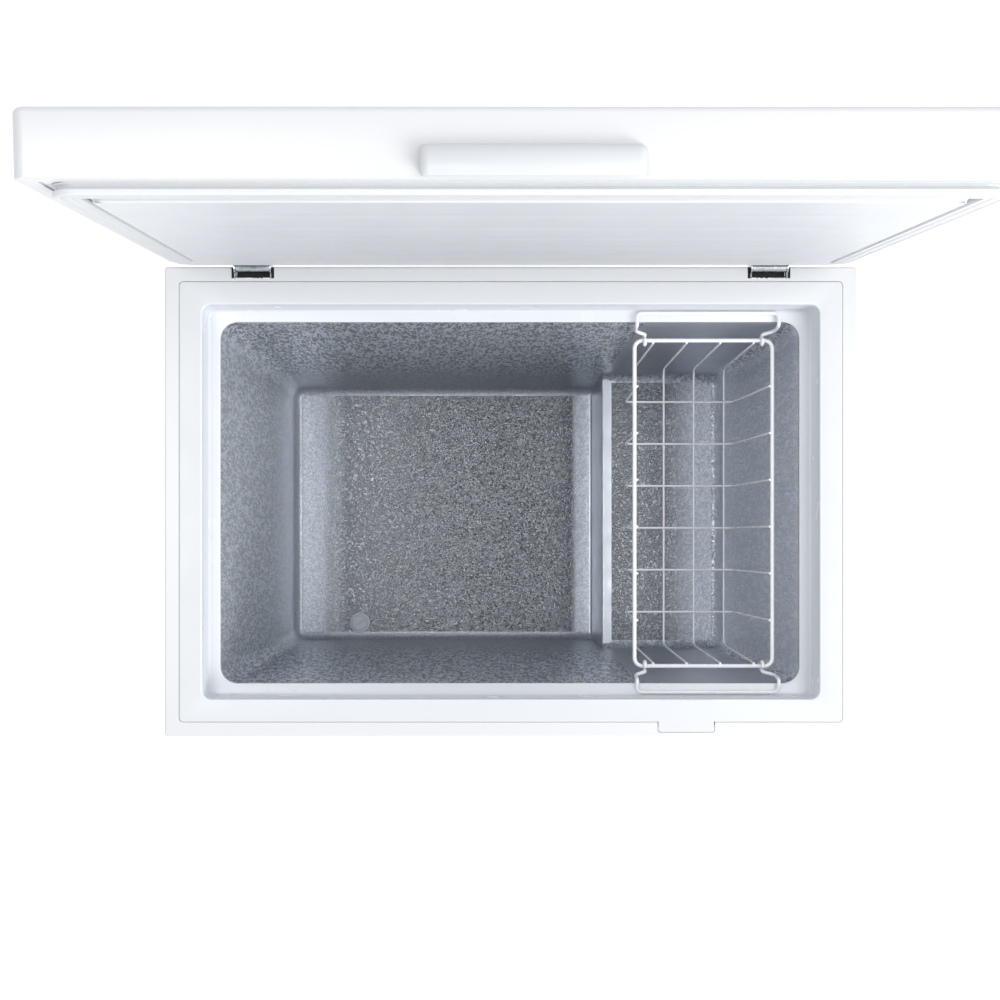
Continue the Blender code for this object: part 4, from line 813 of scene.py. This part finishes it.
def make_basket():
    s = sizes()
    low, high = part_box("basket")
    rail, thin = s.rail_wire, s.thin_wire
    half_x, half_y = (high.x - low.x) / 2 - rail, (high.y - low.y) / 2 - rail
    middle = halfway(low, high)
    centre = Vector((middle[0], middle[1], high.z - rail))
    floor = centre.z - s.basket_height
    rail_corner, bend, taper = 0.009, 0.010, 0.010
    long_pitch, cross_pitch = 0.0375, 0.0523
    weld = 0.0003  # by which touching wires bite into each other
    wires = Maker()
    wires.wire(rounded_rectangle(half_x, half_y, rail_corner, centre.z, (centre.x, centre.y), 8), rail, 20,
               cyclic=True)
    inset = rail + thin - weld
    top = centre.z + 2 * weld

    def bead(at, radius):
        """A lump of coat over a weld."""
        tip, flat = 0.0002, radius * 0.75
        wires.turned([(tip, -radius), (flat, -radius * 0.6), (radius, 0.0), (flat, radius * 0.6),
                      (tip, radius)], at, "Z", 10)

    def trough(half, foot, way, turn):
        """A thin wire from rail to rail by way of the floor, with a bead at each rail."""
        stops = ((half - inset, top), (half - taper, foot), (taper - half, foot), (inset - half, top))
        wires.wire(bent([turn(way * reach, z) for reach, z in stops], bend), thin)
        for side in (-1, 1):
            bead(turn(side * (half - rail * 0.8), centre.z), thin * 1.5)

    columns = [centre.x + (number - 1.5) * long_pitch for number in range(4)]
    for x in columns:
        trough(half_y, floor, 1, lambda reach, z: (x, centre.y + reach, z))
    for number in range(6):
        y = centre.y + (number - 2.5) * cross_pitch
        trough(half_x, floor + 2 * thin - weld, -1, lambda reach, z: (centre.x + reach, y, z))
        for x in columns:
            bead((x, y, floor + thin * 0.9), thin * 1.15)
    wires.piece("basket_wires", "basket", "coated_wire", ("basket",))

    plan = Plan()
    wire = s.bail_wire
    eye = rail + 0.0005 + wire  # from the rail's middle to the middle of the wire hooked round it
    eye_x = half_x - 0.0115
    lip = plan.opening_y - half_y
    ledge = plan.ledge - centre.z
    for side, name in ((1, "rear"), (-1, "front")):
        box_low, box_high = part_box("basket_bail_" + name)
        right = (box_high.x - box_low.x) / 2 - wire
        outer = box_high.y - centre.y if side > 0 else centre.y - box_low.y
        shoulder = Vector((right, lip - wire - 0.0025, ledge + 0.0075))
        grip = Vector((right, outer - wire - half_y, ledge + wire + GAP))
        lean = math.atan2(shoulder.z, shoulder.y)
        # right half, from the hook's end: round the rail, out to the shoulder, over the lip
        half = []
        for a in sweep(345, 90, 16):
            half.append(Vector((eye_x, eye * math.cos(lean - a), eye * math.sin(lean - a))))
        along = Vector((0.0, math.cos(lean), math.sin(lean)))
        leave = half[-1]
        jog = leave + along * 0.013
        jog.x = right
        corners = [leave, leave + along * 0.005, jog, shoulder, grip, Vector((0.0, grip.y, grip.z))]
        half = (half[:-1] + bent(corners, 0.0085, 6))[:-1]
        route = half + [Vector((-p.x, p.y, p.z)) for p in reversed(half)]
        at = Vector((centre.x, centre.y + side * half_y, centre.z))
        bail = Maker()
        bail.wire([at + Vector((p.x, side * p.y, p.z)) for p in route], wire, 16)
        bail.piece("basket_handle_" + name, "bail_" + name, "coated_wire", ("basket_bail_" + name,))


class FREEZER_OT_basket(bpy.types.Operator):
    """Weld the wire basket and hang its two handles"""

    bl_idname = "freezer.basket"
    bl_label = "Basket"

    def execute(self, context):
        make_basket()
        return {"FINISHED"}


def make_lid():
    plan = Plan()
    hinge = next(j for j in frame["joints"] if j["name"] == "lid_hinge")
    axis = Vector(hinge["pos_m"])
    turn = Matrix.Rotation(math.radians(hinge["range_deg"][0]), 4, "X")
    opened = Matrix.Translation(axis) @ turn @ Matrix.Translation(-axis)
    shut = opened.inverted()

    def shut_box(node):
        """A node's lowest and highest corner with the lid closed."""
        corners = [shut @ v.co for v in frame["nodes"][node].data.vertices]
        return [Vector([pick(c[i] for c in corners) for i in range(3)]) for pick in (min, max)]

    low, high = shut_box("lid_outer_panel")
    half_x, half_y = (high.x - low.x) / 2, (high.y - low.y) / 2
    centre = (0.0, (high.y + low.y) / 2)
    edge, corner, hem_round, return_width = 0.005, 0.010, 0.0012, 0.014

    def loop(inset, z):
        return rounded_rectangle(half_x - inset, half_y - inset, max(corner - inset, 0.001), z, centre)

    def arc(radius, inset, z, start, end, steps=6):
        turns = sweep(start, end, steps)
        return [loop(inset + radius * (1 - math.cos(a)), z + radius * math.sin(a)) for a in turns]

    def add(maker, *args, **kwargs):
        """Open what was drawn closed, and make it a piece."""
        maker.bm.transform(opened)
        return maker.piece(*args, **kwargs)

    shell = Maker()
    rounded = arc(edge, 0.0, high.z - edge, 90, 0)
    inner = arc(edge - SHEET, SHEET, high.z - edge, 0, 90)
    hem = arc(hem_round, 0.0, low.z + hem_round, 0, -90, 3)
    # the top is crowned a little, as sheet pressed over foam is
    crown = [loop(inset, high.z + rise) for inset, rise in ((0.20, 0.0006), (0.12, 0.0004), (0.05, 0.0001))]
    turned_in = [
        loop(return_width, low.z), loop(return_width, low.z + SHEET), loop(SHEET, low.z + SHEET),
    ]
    shell.loft(crown + rounded + hem + turned_in + inner)
    add(shell, "lid_shell", "lid", "white_steel", ("lid_outer_panel",))

    # the formed liner: a flat border, and a plug that drops into the recess of the rim frame
    border = low.z + SHEET + GAP
    depth, slope, clearance = 0.0113, 0.005, 0.004
    shoulder, toe, toe_in = 0.004, 0.002, 0.0014
    plug_x, plug_y = plan.recess_x - clearance, plan.recess_y - clearance

    def plug(grow, z):
        return plan.loop(plug_x + grow, plug_y + grow, 0.012 + grow, z)

    face = border - depth
    formed = Maker()
    # painted light: the border and the plug's sides take the copy of the plastic painted lighter
    formed.slot = 1
    rows = [loop(0.0022, border + 0.0015), loop(0.0022, border), plug(slope + shoulder, border)]
    for a in sweep(0, 90, 6):
        rows.append(plug(slope + shoulder - shoulder * math.sin(a), border - shoulder * (1 - math.cos(a))))
    for a in sweep(0, 90, 6):
        rows.append(plug(toe * math.cos(a) - toe_in, face + toe * (1 - math.sin(a))))
    formed.loft(rows, caps=False)
    formed.slot = 0
    # the middle: shallow stiffening ribs along the lid, drawn out to nothing at both ends
    half_w, half_d = plug_x - toe_in, plug_y - toe_in
    rib_pitch, rib_height = 0.068, 0.0011
    end_x, run_x, end_y, run_y = 0.05, 0.03, 0.03, 0.02
    across, along = 96, 64
    grid = []
    for j in range(along + 1):
        y = -half_d + 2 * half_d * j / along
        fade_y = min(1.0, max(0.0, (half_d - end_y - abs(y)) / run_y))
        wave = max(0.0, math.cos(2 * math.pi * y / rib_pitch)) ** 3 * rib_height
        row = []
        for i in range(across + 1):
            x = -half_w + 2 * half_w * i / across
            fade = min(1.0, max(0.0, (half_w - end_x - abs(x)) / run_x)) * fade_y
            row.append(Vector((x, plan.centre_y + y, face + wave * fade * fade * (3 - 2 * fade))))
        grid.append(row)
    formed.loft(grid, caps=False, open_loop=True)
    add(formed, "lid_formed_liner", "lid", "lid_liner_plastic", ("lid_inner_liner",), closed=False,
        materials=("vacuum_formed_polystyrene", "glossy_polystyrene_painted_lighter"))

    # the gasket: a wide root on the border, a waist, and a soft foot grooved along its middle
    seat, touch, from_side = border - GAP, plan.rim + GAP, 0.0282
    mid_x, mid_y = plan.half_x - from_side, plan.half_y - from_side
    half = [
        (0.0100, seat), (0.0096, seat - 0.0010), (0.0064, seat - 0.0016), (0.0060, seat - 0.0028),
        (0.0074, seat - 0.0040), (0.0094, seat - 0.0052), (0.0098, touch + 0.0022),
        (0.0095, touch + 0.0008), (0.0086, touch), (0.0050, touch), (0.0042, touch + 0.0005),
        (0.0034, touch),
    ]
    section = [(-off, z) for off, z in half] + [(off, z) for off, z in reversed(half)]
    seal = Maker()
    seal.loft([plan.loop(mid_x + off, mid_y + off, 0.0125 + off, z) for off, z in section], ring=True)
    add(seal, "lid_seal", "lid", "gasket_vinyl", ("lid_gasket",), bevel=0.0003)

    # the grip, as shares of the handle's reach and height, with a finger groove underneath
    low, high = shut_box("lid_handle")
    reach, tall = high.y - low.y, high.z - low.z
    outline = [
        (1.00, 0.00), (1.00, 1.00), (0.80, 0.99), (0.55, 0.95), (0.30, 0.84), (0.10, 0.64), (0.01, 0.40),
        (0.00, 0.18), (0.06, 0.05), (0.16, 0.01), (0.26, 0.04), (0.34, 0.14), (0.45, 0.22), (0.62, 0.22),
    ]
    grip = Maker()
    end = 0.006  # length over which each end rounds off
    rounding = [(0.0, 0.55), (end * 0.15, 0.78), (end * 0.5, 0.93), (end, 1.0)]
    ends = [(low.x + inset, share) for inset, share in rounding]
    ends += [(high.x - inset, share) for inset, share in reversed(rounding)]
    loops = []
    for x, share in ends:
        loops.append([
            Vector((
                x, high.y - (1 - u) * reach * share,
                low.z + tall * (0.5 + (w - 0.5) * (0.6 + 0.4 * share)),
            ))
            for u, w in outline
        ])
    grip.loft(loops)
    add(grip, "lid_grip", "lid", "white_plastic", ("lid_handle",), bevel=0.0006)


class FREEZER_OT_lid(bpy.types.Operator):
    """Press the lid, form its ribbed liner and fit its gasket and grip"""

    bl_idname = "freezer.lid"
    bl_label = "Lid"

    def execute(self, context):
        make_lid()
        return {"FINISHED"}


def make_hinges():
    plan = Plan()
    rear = plan.centre_y + plan.half_y
    notch_half, notch_front = 0.0230, rear - 0.0125
    for name in ("left", "right"):
        low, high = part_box("hinge_pin_" + name)
        centre, axis_y, axis_z = halfway(low, high)
        ear = (high.x - low.x) / 2
        # the shroud closes the pocket over the foam; its black stands for the shade deep in the pocket: painted
        # shade
        shroud = Maker()
        # a dished tray under the knuckle, with a lip that turns up along its front; its ends
        # lift, all but the underside
        underside = -0.0090
        section = [
            (notch_front + 0.0022, -0.0050), (notch_front + 0.0030, -0.0050),
            (notch_front + 0.0034, -0.0082), (axis_y + 0.0036, -0.0088), (axis_y + 0.0036, -0.0098),
            (notch_front + 0.0022, -0.0094),
        ]
        tray = []
        for x, lift in ((-0.0180, 0.0014), (-0.0168, 0.0), (0.0168, 0.0), (0.0180, 0.0014)):
            tray.append([
                Vector((centre + x, y, axis_z + z + (lift if z > underside else 0.0))) for y, z in section
            ])
        shroud.loft(tray)
        # strips that close the pocket beside the ears
        for side in (-1, 1):
            inner, outer = centre + side * (ear + GAP), centre + side * (notch_half - 0.0001)
            strip = []
            for y in (notch_front + 0.0001, rear - GAP):
                strip.append([
                    Vector((x, y, plan.rim + z))
                    for x, z in ((inner, -0.0060), (outer, -0.0060), (outer, -0.0022), (inner, -0.0022))
                ])
            shroud.loft(strip)
        shroud.piece("hinge_shroud_painted_shade_" + name, "cabinet", "black_plastic", bevel=0.0002)


class FREEZER_OT_hinges(bpy.types.Operator):
    """Shroud each hinge pocket, in black that stands for the shade deep in the pocket: painted shade"""

    bl_idname = "freezer.hinges"
    bl_label = "Hinges"

    def execute(self, context):
        make_hinges()
        return {"FINISHED"}


def make_drain():
    low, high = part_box("drain_flange")
    at = Vector((*halfway(low, high)[:2], 0.0))
    radius, bore = (high.x - low.x) / 2, 0.0085
    top, base = high.z, sizes().well_floor + GAP
    ring = Maker()
    ring.turned([
        (bore, low.z), (bore + 0.0018, low.z), (bore + 0.0018, base), (radius, base),
        (radius, base + 0.0004), (radius - 0.0004, top - 0.0003), (radius - 0.0012, top),
        (bore + 0.0040, top), (bore + 0.0034, top - 0.0003), (bore + 0.0012, top - 0.0010),
        (bore, top - 0.0016),
    ], at, "Z", 56, ring=True)
    # painted light: the ring takes the copy of the plastic painted lighter, standing for its bright edges
    ring.piece("drain_ring", "cabinet", "white_plastic", ("drain_flange",), sharp=45,
               materials=("glossy_polystyrene_painted_lighter",))

    # the plug, with a raised bar across its head for a coin or the fingers
    low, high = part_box("drain_plug")
    at = Vector((*halfway(low, high)[:2], 0.0))
    head = (high.x - low.x) / 2
    stopper = Maker()
    seat = top + GAP
    crest = high.z
    stopper.turned([
        (0.0002, low.z), (bore - 0.0030, low.z), (bore - 0.0014, low.z + 0.0016),
        (bore - 0.0006, seat - 0.001), (bore - 0.0006, seat), (head - 0.0004, seat),
        (head, seat + 0.0004), (head - 0.0002, crest - 0.0014), (head - 0.0010, crest - 0.0006),
        (head - 0.0022, crest - 0.0006), (head - 0.0030, crest - 0.0016), (0.0002, crest - 0.0016),
    ], at, "Z", 56)
    turn = Matrix.Rotation(math.radians(35), 3, "Z")
    bar_half, bar_width, bar_corner = head * 0.72, 0.0011, 0.0008
    bar = []
    for z, inset in ((crest - 0.0018, 0.0), (crest - 0.0003, 0.0), (crest, 0.0003)):
        flat = rounded_rectangle(bar_half - inset, bar_width - inset, bar_corner - inset * 0.5, 0.0, steps=5)
        bar.append([at + turn @ p + Vector((0, 0, z)) for p in flat])
    stopper.loft(bar)
    # painted light: the plug takes the copy of the plastic painted lighter, standing for its bright edges
    stopper.piece("drain_stopper", "drain_plug", "white_plastic", ("drain_plug",), sharp=45,
                  materials=("glossy_polystyrene_painted_lighter",))


class FREEZER_OT_drain(bpy.types.Operator):
    """Turn the drain's flange and its plug with a coin bar"""

    bl_idname = "freezer.drain"
    bl_label = "Drain"

    def execute(self, context):
        make_drain()
        return {"FINISHED"}


def make_controls():
    low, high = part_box("thermostat_knob")
    middle = halfway(low, high)
    at = Vector((middle[0], 0.0, middle[2]))
    radius, back, front = (high.x - low.x) / 2, high.y, low.y
    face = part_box("control_bezel")[0].y
    knob = Maker()
    ribs = 30
    count = ribs * 6

    def ribbed(size, y, depth=0.0):
        """A ring of the knob, with grooves of a depth between its ribs."""
        ring = []
        for i in range(count):
            a = 2 * math.pi * i / count
            out = size - depth * (0.5 - 0.5 * math.cos(ribs * 2 * math.pi * i / count))
            ring.append(at + Vector((out * math.cos(a), y, out * math.sin(a))))
        return ring

    skirt = min(back, face - GAP)
    knob.loft([
        ribbed(radius - 0.0006, skirt), ribbed(radius, skirt - 0.0006), ribbed(radius, skirt - 0.0022),
        ribbed(radius - 0.0016, skirt - 0.0028), ribbed(radius - 0.0018, skirt - 0.0034, 0.0008),
        ribbed(radius - 0.0026, front + 0.0016, 0.0008), ribbed(radius - 0.0032, front + 0.0006, 0.0005),
        ribbed(radius - 0.0045, front), ribbed(radius - 0.0070, front + 0.0002),
        ribbed(0.0010, front + 0.0004),
    ])
    knob.slot = 1
    pointer = [
        Vector((at.x + x, y, at.z + z))
        for y in (front + 0.0006, front)
        for x, z in (
            (-0.0008, 0.003), (0.0008, 0.003), (0.0008, radius - 0.005), (-0.0008, radius - 0.005)
        )
    ]
    knob.loft([pointer[:4], pointer[4:]])
    knob.piece("dial_knob", "knob", "white_plastic", ("thermostat_knob",), sharp=50,
               materials=("moulded_rim_polystyrene", "printed_grey_ink"))

    # the scale: a fine mark every 10 degrees of the knob's turn, and a bold one every 90
    scale = Maker()
    film, lift = 0.00012, 0.00002
    for mark, turn in enumerate(sweep(-135, 135, 27)):
        major = mark % 9 == 0
        inner, outer = radius + 0.0014, radius + (0.0040 if major else 0.0027)
        half = 0.0005 if major else 0.00022
        spoke = Vector((math.sin(turn), 0.0, math.cos(turn)))
        side = Vector((math.cos(turn), 0.0, -math.sin(turn)))
        quad = [spoke * inner - side * half, spoke * outer - side * half,
                spoke * outer + side * half, spoke * inner + side * half]
        scale.loft([[at + q + Vector((0, face - lift - film * k, 0)) for q in quad] for k in (0, 1)])
    scale.piece("dial_scale", "cabinet", "grey_plastic", materials=("printed_grey_ink",))

    low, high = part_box("power_lamp")
    middle = halfway(low, high)
    lamp_radius = (high.x - low.x) / 2
    dome = lamp_radius * 0.45
    lens = Maker()
    profile = [(0.0002, -high.y), (lamp_radius, -high.y), (lamp_radius, -low.y - dome)]
    profile += [(lamp_radius * math.cos(a), -low.y - dome * (1 - math.sin(a))) for a in sweep(0, 90, 9)[1:-1]]
    profile.append((0.0002, -low.y))
    lens.turned(profile, Vector((middle[0], 0.0, middle[2])), "-Y", 40)
    lens.piece("lamp_lens", "cabinet", "green_lens", ("power_lamp",))


class FREEZER_OT_controls(bpy.types.Operator):
    """Fit the ribbed dial, its printed scale and the lamp"""

    bl_idname = "freezer.controls"
    bl_label = "Controls"

    def execute(self, context):
        make_controls()
        return {"FINISHED"}


class FREEZER_OT_edges(bpy.types.Operator):
    """Round the folded and moulded edges of the CAD nodes that stay"""

    bl_idname = "freezer.edges"
    bl_label = "Edges"

    def execute(self, context):
        widths = {
            0.0004: ("hinge_body_left", "hinge_body_right", "hinge_leaf_left", "hinge_leaf_right"),
            0.0005: ("outer_wrapper", "back_panel"),
            0.0006: ("side_grille", "rear_cover", "base_pan", "cord_gland", "machine_room_panel"),
            0.0008: ("control_bezel", "drain_cap"),
            0.0010: ("compressor_tray", "foot_front_left", "foot_front_right", "foot_rear_left",
                     "foot_rear_right"),
            0.0012: ("relay_cover",),
        }
        for width, nodes in widths.items():
            for node in nodes:
                soften(frame["nodes"][node], width)
        return {"FINISHED"}


class FREEZER_PT_panel(bpy.types.Panel):
    """Buttons for each group of pieces"""

    bl_idname = "FREEZER_PT_panel"
    bl_label = "Chest freezer"
    bl_space_type = "VIEW_3D"
    bl_region_type = "UI"
    bl_category = "Freezer"

    def draw(self, context):
        for operator in OPERATORS:
            self.layout.operator(operator.bl_idname)
        for group in (context.scene.freezer_sizes, context.scene.freezer_colours):
            for name in group.__annotations__:
                self.layout.prop(group, name)


OPERATORS = (
    FREEZER_OT_materials,
    FREEZER_OT_stage,
    FREEZER_OT_liner,
    FREEZER_OT_rim,
    FREEZER_OT_basket,
    FREEZER_OT_lid,
    FREEZER_OT_hinges,
    FREEZER_OT_drain,
    FREEZER_OT_controls,
    FREEZER_OT_edges,
)
CLASSES = (FreezerSizes, FreezerColours, *OPERATORS, FREEZER_PT_panel)


def register():
    for cls in CLASSES:
        bpy.utils.register_class(cls)
    bpy.types.Scene.freezer_sizes = PointerProperty(type=FreezerSizes)
    bpy.types.Scene.freezer_colours = PointerProperty(type=FreezerColours)


def unregister():
    del bpy.types.Scene.freezer_colours
    del bpy.types.Scene.freezer_sizes
    for cls in reversed(CLASSES):
        bpy.utils.unregister_class(cls)


def main():
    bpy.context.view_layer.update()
    register()
    for operator in OPERATORS:
        group, name = operator.bl_idname.split(".")
        getattr(getattr(bpy.ops, group), name)()


if __name__ == "__main__":
    main()
